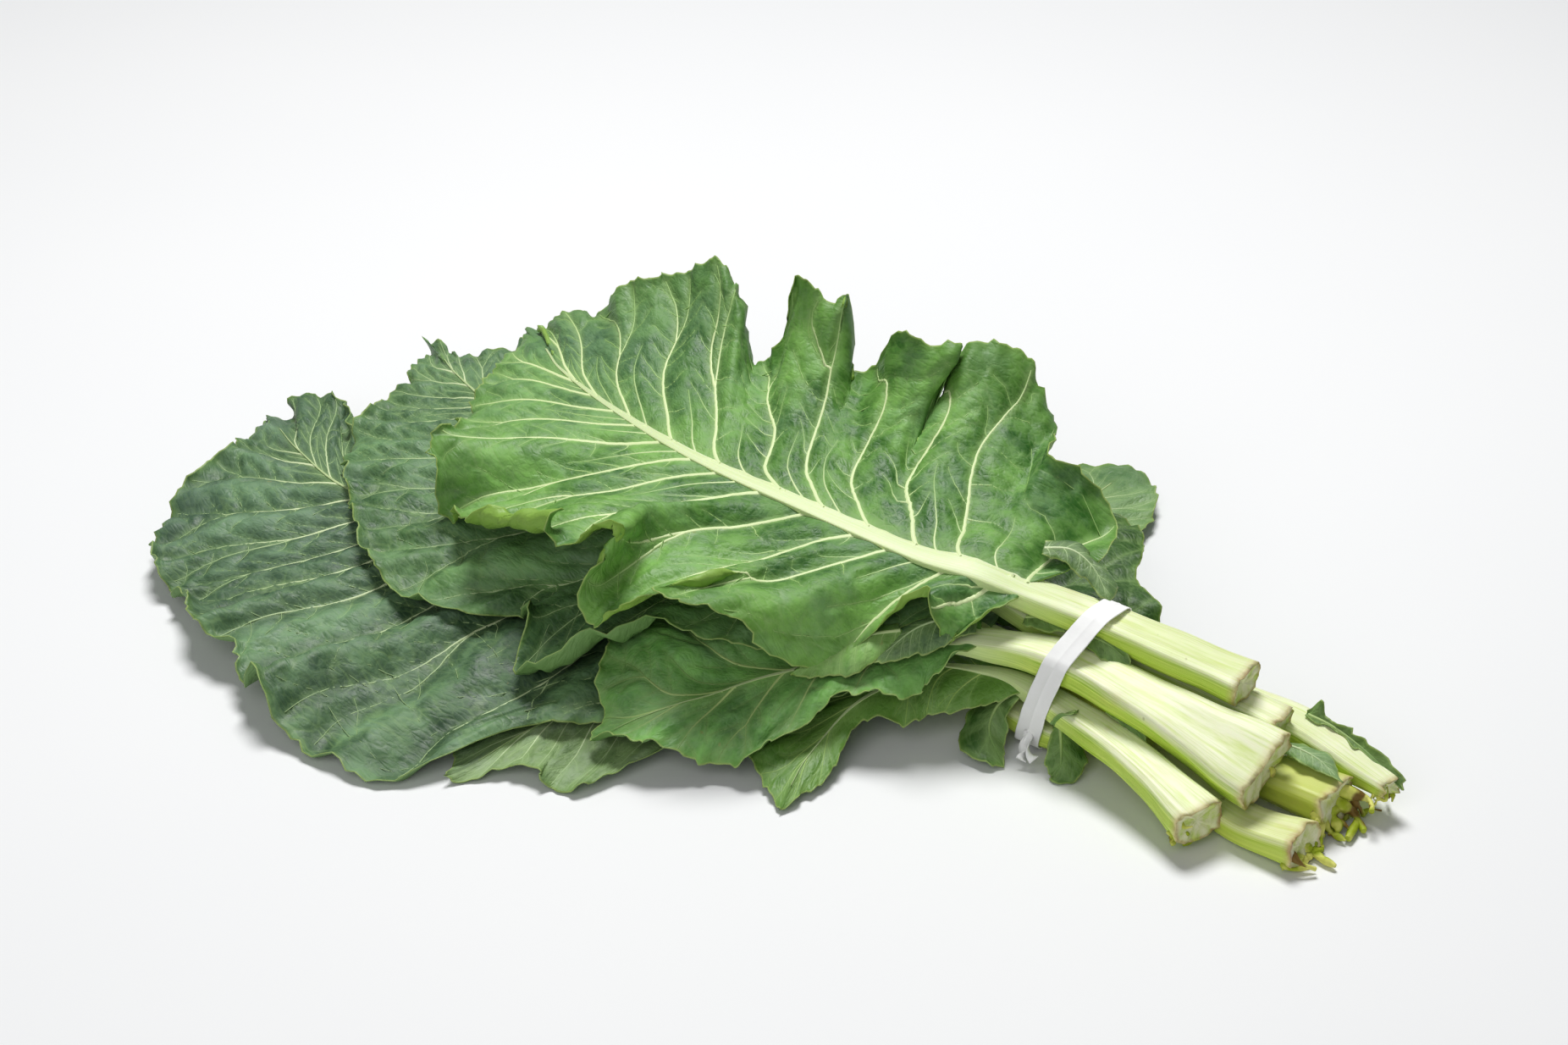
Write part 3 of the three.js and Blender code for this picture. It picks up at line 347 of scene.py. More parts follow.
def half_blade(leaf, stations, shares, reach, sign, extra_width):
    side = "near" if sign > 0 else "far"
    end = stations[-1, 0]
    at, along, across, up = on_rib(stations, leaf["start"] + (end - leaf["start"]) * shares)
    sweep = np.radians(smooth(leaf.get("sweep_" + side, FAN), shares, 1))[:, None]
    outward = sign * across * np.cos(sweep) + along * np.sin(sweep)
    width = np.maximum(smooth(leaf[side], shares, 1), 1) + extra_width
    inner, outer = (np.radians(smooth(leaf[side], shares, k))[:, None] for k in (2, 3))
    steps = np.linspace(0, 1, BEND_STEPS + 1)
    middles = (steps[1:] + steps[:-1]) / 2
    curls = leaf.get("curl_" + side, LEVEL)
    curl, depth = np.radians(smooth(curls, shares, 1))[:, None], smooth(curls, shares, 2)[:, None]
    slope = inner + (outer - inner) * middles**2
    slope = slope + curl * soft_step(middles, 1 - np.minimum(depth / width[:, None], 0.9), 1.0)

    def gone(part):
        """How far a vein has gone at each reach, level with the cosine or upwards with the sine."""
        sums = np.concatenate([np.zeros((len(shares), 1)), np.cumsum(part(slope), axis=1)], axis=1)
        return np.stack([np.interp(reach, steps, row) for row in sums]) * width[:, None] / BEND_STEPS

    level, rise = gone(np.cos), gone(np.sin)
    lean = smooth(leaf.get("lean_" + side, LEVEL), shares, 1)[:, None] * soft_step(reach, 0.5, 1.0)
    return (at[:, None] + outward[:, None] * level[..., None] + up[:, None] * rise[..., None]
            + along[:, None] * lean[..., None]), width


def teeth(margin, random, spacing, size):
    """Extra width along a margin: small teeth that point to the tip, unevenly spaced."""
    steps = np.linalg.norm(np.diff(margin, axis=0), axis=1)
    run = np.concatenate([[0], np.cumsum(steps)])
    place = run / spacing + 0.35 * waves(run, random, (41, 23, 67))
    share = place - np.floor(place)
    height = 0.6 + 0.4 * np.sin(2.4 * np.floor(place) + 5 * random.random())
    return size * height * np.maximum(0, 1 - np.abs(share - 0.66) / np.where(share < 0.66, 0.6, 0.24)), run


# %% [markdown]
# ## Veins as places on the blade
#
# Side veins leave the rib at a narrow angle, bend outwards and fork near the margin, and thin
# twigs branch off them towards their neighbours. Each vein is planned as shares and reaches of
# the blade's own grid, so the same plan shapes the lamina and carries the raised strands.

# %% Where the veins run
VEIN_END = 0.96


def vein_shares(leaf, side):
    given = leaf.get("veins_" + side)
    if given:
        return np.array(given, float)
    random = np.random.default_rng(leaf["seed"] + (1 if side == "far" else 2))
    spacing = leaf.get("vein_spacing", 17.0) / leaf["blade_length"]
    shares = [0.02 + 0.02 * random.random()]
    while shares[-1] < 0.88:
        shares.append(shares[-1] + spacing * (1 - 0.3 * shares[-1]) * (0.75 + 0.5 * random.random()))
    return np.array(shares)


def vein_path(leaf, side, numbers, reaches, radii, curl=1.0):
    """A vein from one vein number, reach and radius to another, as (side, shares, reaches, radii)."""
    widths, length = leaf["facts"][side]["width"], leaf["blade_length"]
    count = max(int((reaches[1] - reaches[0]) * leaf["columns"] * 1.3), 5)
    t = np.linspace(0, 1, count)
    reach = reaches[0] + (reaches[1] - reaches[0]) * t
    starts = vein_shares(leaf, side)
    known = np.concatenate([[starts[0] - 1], starts, [starts[-1] + 1]])
    steps = np.diff(starts)
    rank = np.concatenate([[-1 / steps[0]], np.arange(len(starts)), [len(starts) - 1 + 1 / steps[-1]]])
    share = np.interp(numbers[0] + (numbers[1] - numbers[0]) * t**curl, rank, known)
    distance = reach * np.interp(np.clip(share, 0, 1), leaf["shares"], widths)
    weave = leaf.get("vein_weave", 1.5) * (1.7 if side == "far" else 1.0)
    phase = 2.0 if side == "far" else 0.5
    bend = weave * np.sin(distance / 9.5 + phase + share * length / 17.0) * np.clip(distance / 12, 0, 1)
    hook = leaf.get("hook_" + side, 9.0)
    share = share + (bend + hook * (1 - np.exp(-distance / max(hook, 1)))) / length
    inside = (share > -0.002) & (share < 0.985)
    if inside.sum() < 4:
        return None
    return side, share[inside], reach[inside], (radii[0] + (radii[1] - radii[0]) * t)[inside]


def plan_veins(leaf):
    random = np.random.default_rng(leaf["seed"] + 31)
    size = leaf.get("vein_size", 1.0)
    mains, twigs = [], []
    for side in ("near", "far"):
        starts = vein_shares(leaf, side)
        for k, start in enumerate(starts):
            width = float(np.interp(start, leaf["shares"], leaf["facts"][side]["width"]))
            if start > 0.92 or width < leaf.get("vein_least", 12):
                continue
            root = size * (0.85 + 0.4 * random.random()) * float(np.interp(start, [0, 0.9], [1.1, 0.6]))
            fork = 0.4 + 0.35 * random.random() if random.random() < 0.65 and width > 30 else 0.97
            thin = root + (0.22 * size - root) * fork
            mains.append(vein_path(leaf, side, (k, k), (0.0, fork), (root, thin)))
            if fork < 0.9:
                arms = (0.2 + 0.2 * random.random(), 1.0), (-0.15 - 0.2 * random.random(), 0.8)
                for opening, part in arms:
                    mains.append(vein_path(leaf, side, (k, k + opening), (fork, VEIN_END),
                                           (thin * part, 0.16 * size), 0.85))
            if random.random() < 0.55 and k < len(starts) - 1:
                middle, far_end = k + 0.4 + 0.2 * random.random(), 0.25 + 0.3 * random.random()
                twigs.append(vein_path(leaf, side, (middle, middle), (0.0, far_end),
                                       (root * 0.45, 0.12 * size)))
            branch, toward = 0.1 + 0.1 * random.random(), 1 if random.random() < 0.5 else -1
            while branch < 0.88:
                local = root + (0.2 * size - root) * branch
                longer = (5.0 + 8.0 * random.random()) / max(width, 10)
                drift = toward * (0.3 + 0.25 * random.random())
                twigs.append(vein_path(leaf, side, (k, k + drift), (branch, min(branch + longer, VEIN_END)),
                                       (local * 0.36, 0.1 * size), 0.7))
                branch += (3.5 + 5.0 * random.random()) / max(width, 10)
                toward = -toward
    return [v for v in mains if v is not None], [v for v in twigs if v is not None]


# %% [markdown]
# ## Laying leaf on leaf
#
# A real bunch settles: each leaf lies on those under it. A cloth simulation would take minutes
# and give each run a new shape, so each blade is instead raised over a height map of what it
# covers, and the raise falls off gently so that the leaf bends over what holds it up.

# %% The heap
CELL = 3.0
WEST, SOUTH = -390.0, -210.0
COLUMNS, ROWS = 180, 140
LEAF_GAP = 1.3
FALL = 0.35  # how steeply a raise runs out, in millimetres of height per millimetre
MOST_ROUNDS = 60
TIED_END = -8.0  # from here to the butts the tie holds the stalks, and nothing asks for a raise
FREE_END = 40.0  # at this distance from the tie a leaf is free to take its whole raise
AROUND = [(dy, dx) for dy in (-1, 0, 1) for dx in (-1, 0, 1)]
heap = np.full((ROWS, COLUMNS), -LEAF_GAP)


def cell_of(points):
    column = np.clip(np.round((points[..., 0] - WEST) / CELL).astype(int), 0, COLUMNS - 1)
    row = np.clip(np.round((points[..., 1] - SOUTH) / CELL).astype(int), 0, ROWS - 1)
    return row, column


def moved(field, mode):
    """A field over the ground and its copies moved by one cell, nine in all."""
    padded = np.pad(field, 1, mode=mode)
    return [padded[1 + dy:1 + dy + ROWS, 1 + dx:1 + dx + COLUMNS] for dy, dx in AROUND]


def spread(lift):
    """Lets a raise run down gently on every side of it."""
    drops = [FALL * CELL * math.hypot(dx, dy) for dy, dx in AROUND]
    for _ in range(MOST_ROUNDS):
        wider = np.max([part - drop for part, drop in zip(moved(lift, "constant"), drops)], axis=0)
        if np.array_equal(wider, lift):
            break
        lift = wider
    return lift


def blurred(field):
    """Softens a raise without taking any of it away: it is widened by two cells first."""
    for pick in (np.max, np.max, np.mean, np.mean):
        field = pick(moved(field, "edge"), axis=0)
    return field


def lift_over_heap(points, below):
    """The raise that points need to lie clear of the heap, as a smooth field over the ground."""
    free = points[points[:, 0] < TIED_END]
    row, column = cell_of(free)
    need = np.zeros((ROWS, COLUMNS))
    np.maximum.at(need, (row, column), heap[row, column] + LEAF_GAP + below - free[:, 2])
    return blurred(spread(need))


def between(grid, row, column):
    """Reads a grid of numbers or points between its rows and columns, and says which it read."""
    row = np.clip(row, 0, grid.shape[0] - 1.001)
    column = np.clip(column, 0, grid.shape[1] - 1.001)
    r, c = row.astype(int), column.astype(int)
    shape = r.shape + (1,) * (grid.ndim - 2)
    u, v = (row - r).reshape(shape), (column - c).reshape(shape)
    return ((1 - u) * (1 - v) * grid[r, c] + u * (1 - v) * grid[r + 1, c]
            + (1 - u) * v * grid[r, c + 1] + u * v * grid[r + 1, c + 1]), r, c


def raise_points(points, lifts, floor):
    """Raises points by lifts given as (field, weight), more and more from the tie outwards."""
    column, row = (points[..., 0] - WEST) / CELL, (points[..., 1] - SOUTH) / CELL
    total = sum(weight * between(lift.T, column, row)[0] for lift, weight in lifts)
    points[..., 2] = np.maximum(points[..., 2] + soft_step(-points[..., 0], 0, FREE_END) * total, floor)


def add_to_heap(points):
    row, column = cell_of(points.reshape(-1, 3))
    np.maximum.at(heap, (row, column), points.reshape(-1, 3)[:, 2])


# %% [markdown]
# ## A whole blade, quilted and ruffled
#
# The lamina grows faster than its veins, so it bulges between them and its margin ruffles. The
# bulge follows each place's distance to the nearest vein, which a search tree finds quickly; a
# sculpted bulge would not line up with the veins that the finish and the strands show.

# %% The blade's grid
BLADE_THICKNESS = 0.7


def top_normals(points):
    normals = unit(np.cross(np.gradient(points, axis=1), np.gradient(points, axis=0)))
    normals[-1] = normals[-2]
    return normals * (-1.0 if normals[..., 2].mean() < 0 else 1.0)


def on_blade(leaf, grid, vein):
    """The points of a planned vein on a grid, and the rows and columns that they fall in."""
    side, shares, reaches, _ = vein
    rows, columns = grid.shape[:2]
    step = np.interp(reaches, leaf["reach"], np.arange(leaf["columns"] + 1))
    return between(grid, shares * (rows - 1), columns // 2 + (-step if side == "near" else step))


def distance_to(leaf, grid, veins):
    lines = [on_blade(leaf, grid, vein)[0] for vein in veins]
    points = np.concatenate(lines + [(line[1:] + line[:-1]) / 2 for line in lines])
    tree = KDTree(len(points))
    for number, point in enumerate(points):
        tree.insert(point, number)
    tree.balance()
    return np.array([tree.find(point)[2] for point in grid.reshape(-1, 3)]).reshape(grid.shape[:2])


def joined(near, far):
    """Two halves as one grid, from the near margin over the rib to the far margin."""
    return np.concatenate([near[:, ::-1], far[:, 1:]], axis=1)


def grow_blade(leaf):
    random = np.random.default_rng(leaf["seed"])
    stations = rib_stations(leaf)
    leaf["blade_length"] = stations[-1, 0] - leaf["start"]
    shares = np.linspace(0, 1, leaf["rows"])
    t = np.linspace(0, 1, leaf["columns"] + 1)
    reach = 0.6 * t + 0.4 * (1 - (1 - t) ** 1.6)
    halves, facts = {}, {}
    for side, sign in (("near", 1), ("far", -1)):
        plain, _ = half_blade(leaf, stations, shares, reach[-1:], sign, 0)
        extra, run = teeth(plain[:, -1], random, leaf.get("tooth_spacing", 6.0), leaf.get("tooth", 1.5))
        extra = extra + leaf.get("wander", 1.0) * waves(run, random, (31, 19, 53))
        extra = extra * soft_step(shares, 0, 0.06) * soft_step(1 - shares, 0, 0.04)
        halves[side], width = half_blade(leaf, stations, shares, reach, sign, extra)
        facts[side] = {"width": width, "run": run}
    leaf.update(facts=facts, shares=shares, reach=reach)
    grid = joined(**halves)
    mains, twigs = plan_veins(leaf)
    to_main, to_twig = distance_to(leaf, grid, mains), distance_to(leaf, grid, mains + twigs)

    def whole(key, change=np.asarray):
        """What is known along each margin, changed and carried in to the rib."""
        return joined(*(np.repeat(change(facts[side][key])[:, None], len(reach), axis=1) for side in facts))

    def margin_waves(lengths):
        return whole("run", lambda run: waves(run, random, lengths))

    width = whole("width")
    distance = joined(reach[None], reach[None]) * width
    quilt = 1 - np.exp(-(to_main / leaf.get("quilt", 5.5)) ** 2) + 0.45 * (1 - np.exp(-(to_twig / 1.7) ** 2))
    bulge = leaf.get("pucker", 1.4) * (quilt - leaf.get("sunk", 0.0)) * np.clip(distance / 14, 0, 1)
    bulge = bulge * (0.45 + 0.55 * soft_step(width - distance, 0, 9))
    outness = distance / width
    ruffle = leaf.get("ruffle", 2.5) * margin_waves((17, 27, 41)) * outness**3
    ruffle = ruffle + leaf.get("frill", 0.8) * margin_waves((8.5, 12.0)) * outness**8
    swell = waves(shares * leaf["blade_length"], random, (52, 83))[:, None] * np.sin(distance / 19 + 2)
    swell = leaf.get("swell", 1.2) * swell * np.clip(distance / 20, 0, 1)
    grid = grid + top_normals(grid) * (bulge + ruffle + swell)[..., None]
    leaf.update(grid=grid, mains=mains, twigs=twigs, distance=distance, edge=width - distance,
                out=outness, to_main=to_main, to_twig=to_twig)
    return stations


# %% [markdown]
# ## Stalks and midribs
#
# A collard stalk has a flat, faintly grooved top, sharp shoulders and a rounded keel. It flares at
# the butt, where it was pulled from the plant's stem, and it thins to a point along the blade as
# the midrib. Rings that change along the rib give all of that in one skin.

# %% The stalk's rings
RING = 40
RING_SPACING = 1.8
TURN = 2 * np.pi * (np.arange(RING) + 0.5) / RING


def grow_stalk(leaf, stations):
    random = np.random.default_rng(leaf["seed"] + 11)
    end = stations[-1, 0]
    lengths = np.linspace(0, end, int(round(end / RING_SPACING)) + 1)
    at, along, side, up = on_rib(stations, lengths)
    width, depth = smooth(leaf["stalk"], lengths / end, 1), smooth(leaf["stalk"], lengths / end, 2)
    slim = 1 - leaf.get("slim", 0.2) * soft_step(lengths, leaf["start"] - 5, leaf["start"] + 40)
    slim = slim * (1 - 0.72 * soft_step(lengths / end, 0.6, 1))
    width, depth = width * slim, depth * slim
    bare = 1 - soft_step(lengths, leaf["start"] - 30, leaf["start"] + 20)
    crown = depth * (0.10 + 0.36 * bare)
    rolls = leaf.get("roll", [[0, 0], [1, 0]])
    roll = np.radians(smooth(rolls, lengths / end, 1))[:, None]
    centre = at + up * (0.25 * (1 - bare) - crown)[:, None]
    on_top = np.sin(TURN) > 0
    naked = bare[:, None]
    square = np.where(on_top, 0.58, 0.8) * naked + (1 - naked)
    cosine, sine = (np.sign(part) * np.abs(part) ** square for part in (np.cos(TURN), np.sin(TURN)))
    groove = 1 - 0.13 * naked * np.exp(-((np.cos(TURN) - 0.15) / 0.3) ** 2) * on_top
    ridges = 1 + 0.025 * naked * np.cos(11 * TURN + leaf["seed"])
    ridges = ridges + 0.03 * naked * waves(lengths, random, (24, 37))[:, None]
    across = 0.5 * width[:, None] * cosine * ridges
    upward = np.where(on_top, crown[:, None], (depth - crown)[:, None]) * sine * ridges * groove
    rings = (centre[:, None]
             + side[:, None] * (across * np.cos(roll) + upward * np.sin(roll))[..., None]
             + up[:, None] * (upward * np.cos(roll) - across * np.sin(roll))[..., None])
    torn = np.interp(lengths, [0, 8], [1, 0])[:, None] * leaf.get("torn", 1.0) * (
        waves(np.arange(RING), random, (40.0, 20.0, 13.3))
        + 0.7 * waves(np.arange(RING), random, (5.0, 8.0, 3.3)))
    leaf.update(rings=rings + along[:, None] * torn[..., None], down=lengths / end, bare=bare)


# %% [markdown]
# ## Growing and stacking all nine
#
# Seeds make the uneven parts of each leaf its own, and the same on every run. The row and column
# counts follow how much of a leaf shows. A leaf's rib is raised only as far as it has to be, and
# its outer blade as far as what lies under it asks.

# %% What differs from leaf to leaf
# rows, columns: the grid's size. seed: the start of the leaf's own random numbers.
# pucker, quilt, sunk: height between veins, width of a vein's dip, share of the height taken off.
# ruffle, frill, swell: heights of the margin's long and short waves and of the blade's own.
# slim, torn: how much the midrib thins where the blade starts, how ragged the torn end is.
# vein_spacing, vein_size, veins_*: gap, thickness and places of side veins. hook_*: their bend.
# curl_*: [share of the blade, turn of the rim in degrees, width of the rim that turns].
# lean_*: [share of the blade, how far the rim is pushed along the rib]. tooth: the teeth's size.
# Lengths are in millimetres.
DETAILS = {
  "leaf_base_left": {"seed": 11, "rows": 170, "columns": 30},
  "leaf_base_near": {"seed": 12, "rows": 150, "columns": 34, "ruffle": 2.0, "slim": 0.6},
  "leaf_base_far": {"seed": 13, "rows": 120, "columns": 28, "ruffle": 2.0},
  "leaf_low_near": {"seed": 14, "rows": 130, "columns": 30, "ruffle": 1.0, "vein_spacing": 15,
    "vein_size": 0.7, "slim": 0.66, "torn": 1.3},
  "leaf_back": {"seed": 15, "rows": 150, "columns": 32, "ruffle": 1.5, "torn": 1.5, "tooth": 0.8,
    "vein_size": 0.5},
  "leaf_left": {
    "seed": 16, "rows": 230, "columns": 50, "vein_spacing": 21, "pucker": 4.0, "sunk": 0.55, "frill": 1.3,
    "quilt": 9.0, "slim": 0.5, "vein_size": 1.15, "torn": 1.6,
    "curl_near": [[0, 0, 10], [0.34, -20, 10], [0.37, 10, 10], [0.41, 40, 8], [0.44, 0, 9],
      [0.46, 80, 10], [0.48, -30, 9], [0.52, 70, 9], [0.56, -20, 8], [0.6, 80, 10], [0.66, -20, 8],
      [0.71, 70, 9], [0.76, -30, 8], [0.82, 60, 8], [0.9, -20, 8], [1, 20, 8]],
    "curl_far": [[0, 0, 10], [0.5, 0, 10], [0.6, 50, 9], [0.68, -30, 8], [0.78, 60, 9], [0.86, -20, 8],
      [1, 0, 8]],
  },
  "leaf_middle_near": {
    "seed": 17, "rows": 180, "columns": 40, "ruffle": 1.2, "slim": 0.72, "quilt": 8.0, "vein_spacing": 23,
    "vein_size": 1.0, "torn": 1.2, "pucker": 2.2,
    "curl_near": [[0, 0, 8], [0.08, 60, 8], [0.15, -30, 8], [0.24, 60, 8], [0.36, -20, 8], [0.5, 50, 8],
      [0.65, -20, 8], [0.8, 50, 8], [1, 0, 8]],
    "curl_far": [[0, 0, 8], [0.4, 0, 8], [0.5, 60, 9], [0.6, -20, 8], [0.75, 60, 9], [0.88, -20, 8],
      [1, 0, 8]],
  },
  "leaf_second": {
    "seed": 18, "rows": 220, "columns": 48, "vein_spacing": 20, "pucker": 3.6, "sunk": 0.55, "frill": 1.2,
    "quilt": 9.0, "slim": 0.4, "vein_size": 1.15,
    "curl_near": [[0, 0, 10], [0.25, 0, 10], [0.275, 60, 12], [0.32, 70, 13], [0.345, 0, 10],
      [0.365, 90, 8], [0.38, -30, 8], [0.42, 50, 10], [0.46, 20, 10], [0.5, 60, 9], [0.56, -20, 8],
      [0.62, 60, 9], [0.68, -30, 8], [0.75, 50, 9], [0.84, -20, 8], [1, 0, 8]],
    "curl_far": [[0, 0, 10], [0.3, 0, 10], [0.5, 50, 9], [0.6, -30, 8], [0.7, 60, 9], [0.8, -20, 8],
      [1, 0, 8]],
  },
  "leaf_top": {
    "seed": 19, "hook_near": 17, "hook_far": 9, "rows": 320, "columns": 54, "ruffle": 0.8, "tooth": 2.1,
    "tooth_spacing": 5.2, "torn": 0.7, "pucker": 1.9, "sunk": 0.5, "swell": 0.6, "frill": 0.9,
    "slim": -0.3, "vein_size": 1.85,
    "veins_near": [0.02, 0.075, 0.163, 0.215, 0.305, 0.38, 0.461, 0.514, 0.589, 0.657, 0.719, 0.787, 0.85],
    "veins_far": [0.0, 0.098, 0.165, 0.24, 0.315, 0.39, 0.5, 0.6, 0.7, 0.79, 0.86],
    "curl_near": [[0, 0, 9], [0.03, 80, 8], [0.055, -50, 8], [0.08, 90, 9], [0.11, 0, 9], [0.2, 0, 9],
      [0.225, 25, 9], [0.24, -50, 9], [0.256, 0, 9], [0.27, -20, 8], [0.3, 25, 8], [0.33, 0, 8],
      [0.35, 30, 9], [0.365, 150, 14], [0.385, 185, 15], [0.4, 60, 12], [0.415, 0, 10], [0.44, 30, 12],
      [0.46, 200, 18], [0.505, 200, 17], [0.525, 30, 12], [0.545, -30, 8], [0.565, 70, 8], [0.59, -40, 7],
      [0.615, 90, 8], [0.64, -20, 7], [0.665, 70, 7], [0.69, -40, 7], [0.72, 60, 7], [0.76, -30, 7],
      [0.82, 40, 7], [0.9, -20, 7], [1, 0, 9]],
    "lean_near": [[0, 0], [0.18, 0], [0.225, 5], [0.245, -2], [0.29, -5], [0.33, -10], [0.355, -10],
      [0.38, -15], [0.4, -25], [0.42, -19], [0.44, -15], [0.46, -13], [0.48, -10], [0.51, -4], [0.55, 0],
      [1, 0]],
    "lean_far": [[0, 0], [0.2, 0], [0.222, -5], [0.232, -15], [0.25, -10], [0.28, -3], [0.3, 0],
      [0.33, -3], [0.345, -4], [0.38, 0], [0.47, 0], [1, 0]],
    "curl_far": [[0, 0, 9], [0.05, 60, 10], [0.09, -40, 8], [0.16, 0, 8], [0.225, -60, 9], [0.24, -40, 9],
      [0.28, 40, 9], [0.32, 0, 9], [0.34, -70, 9], [0.38, 0, 9], [0.41, 50, 9], [0.45, 0, 9],
      [0.52, -70, 12], [0.56, -10, 10], [0.62, 0, 9], [0.7, 20, 9], [0.8, -20, 9], [1, 0, 9]],
  },
}

# %% Grow and stack
SPINE = 6  # columns on each side of the rib that are raised with it
RIB_HOLD, BLADE_FREE = 3, 24  # between these distances the rib's raise gives way to the blade's
for leaf in LEAVES:
    leaf.update(DETAILS[leaf["name"]])
    stations = grow_blade(leaf)
    grow_stalk(leaf, stations)
    grid, rings = leaf["grid"], leaf["rings"]
    middle = grid.shape[1] // 2
    spine = grid[:, middle - SPINE:middle + SPINE + 1].reshape(-1, 3)
    keel = rings[:, RING // 2:].reshape(-1, 3)
    rib_lift = np.maximum(lift_over_heap(spine, BLADE_THICKNESS), lift_over_heap(keel, 0.0))
    lift = np.maximum(lift_over_heap(grid.reshape(-1, 3), BLADE_THICKNESS), rib_lift)
    outer = soft_step(leaf["distance"], RIB_HOLD, BLADE_FREE)
    raise_points(grid, [(rib_lift, 1 - outer), (lift, outer)], BLADE_THICKNESS)
    raise_points(rings, [(rib_lift, 1.0)], 0.0)
    add_to_heap(grid)
    add_to_heap(rings)
    print(leaf["name"], "blade", grid.shape[:2], "highest", round(float(grid[..., 2].max()), 1), "mm")
for lobe in LOBES:
    grow_blade(lobe)
    lobe["grid"][..., 2] = np.maximum(lobe["grid"][..., 2], BLADE_THICKNESS)

# %% [markdown]
# ## From grids to solid blades
#
# A leaf is thin but not a sheet of paper: its cut edge and its underside show. Solidify would
# do it, but the underside and the edge need marks of their own for the finish, so both skins
# are laid here and joined along the margin. The tip's last row is one seam shared by both sides.

# %% Mesh from points and faces
def put_in(name, data):
    """A new object in the scene."""
    thing = bpy.data.objects.new(name, data)
    bpy.context.scene.collection.objects.link(thing)
    return thing


def tube_faces(numbers, closed=False):
    """Four-cornered faces round a tube, from rows of point numbers, one row for each ring."""
    ahead = np.roll(numbers, -1, axis=0)
    faces = np.stack([numbers, np.roll(numbers, -1, axis=1), np.roll(ahead, -1, axis=1), ahead], axis=-1)
    return (faces if closed else faces[:-1]).reshape(-1, 4)


def make_piece(name, points_mm, faces, attributes=None, uv=None):
    mesh = bpy.data.meshes.new(name)
    points = (np.asarray(points_mm, float).reshape(-1, 3) + SHIFT) * MM
    mesh.from_pydata(points.tolist(), [], [list(map(int, face)) for face in faces])
    for key, values in (attributes or {}).items():
        layer = mesh.attributes.new(key, "FLOAT", "POINT")
        layer.data.foreach_set("value", np.asarray(values, np.float32).ravel())
    if uv is not None:
        layer = mesh.uv_layers.new(name="leaf_map")
        corners = np.empty(len(mesh.loops), np.int32)
        mesh.loops.foreach_get("vertex_index", corners)
        layer.data.foreach_set("uv", np.asarray(uv, np.float32)[corners].ravel())
    mesh.polygons.foreach_set("use_smooth", np.ones(len(mesh.polygons), bool))
    mesh.validate()
    mesh.update()
    return put_in(name, mesh)


def blade_mesh(leaf):
    grid = leaf["grid"]
    rows, columns = grid.shape[:2]
    middle = columns // 2
    leaf["normals"] = normals = top_normals(grid)
    thickness = BLADE_THICKNESS * (0.5 + 0.5 * soft_step(leaf["edge"], 0, 4))
    bottom = grid - normals * thickness[..., None]
    bottom[..., 2] = np.maximum(bottom[..., 2], 0.0)
    sign = np.where(np.arange(columns) < middle, 1.0, -1.0)[None, :]
    run = np.repeat((leaf["shares"] * leaf["blade_length"])[:, None], columns, axis=1)
    numbers = np.arange(rows * columns).reshape(rows, columns)
    numbers[-1, middle + 1:] = numbers[-1, :middle][::-1]
    low = numbers + rows * columns

    def quads(*corners):
        return np.stack(corners, axis=-1).reshape(-1, 4)

    faces = np.concatenate([
        quads(numbers[:-1, :-1], numbers[:-1, 1:], numbers[1:, 1:], numbers[1:, :-1]),
        quads(low[:-1, :-1], low[1:, :-1], low[1:, 1:], low[:-1, 1:]),
        quads(numbers[:-1, 0], numbers[1:, 0], low[1:, 0], low[:-1, 0]),
        quads(numbers[:-1, -1], low[:-1, -1], low[1:, -1], numbers[1:, -1]),
        quads(numbers[0, :-1], low[0, :-1], low[0, 1:], numbers[0, 1:])])
    used = np.unique(faces)
    renumber = np.full(2 * rows * columns, -1)
    renumber[used] = np.arange(len(used))
    points = np.concatenate([grid.reshape(-1, 3), bottom.reshape(-1, 3)])[used]

    def twice(values):
        return np.tile(values.ravel(), 2)[used]

    marks = {"edge": "edge", "rib": "distance", "vein": "to_main", "twig": "to_twig", "out": "out"}
    attributes = {mark: twice(leaf[key]) for mark, key in marks.items()}
    attributes["under"] = (used >= rows * columns).astype(float)
    uv = np.stack([twice(leaf["distance"] * sign), twice(run)], axis=-1) / 100
    return make_piece(leaf["name"] + "_blade", points, renumber[faces], attributes, uv)


CUT_RINGS = (0.96, 0.88, 0.74, 0.55, 0.36, 0.18)  # rings over the torn end, as shares of its rim


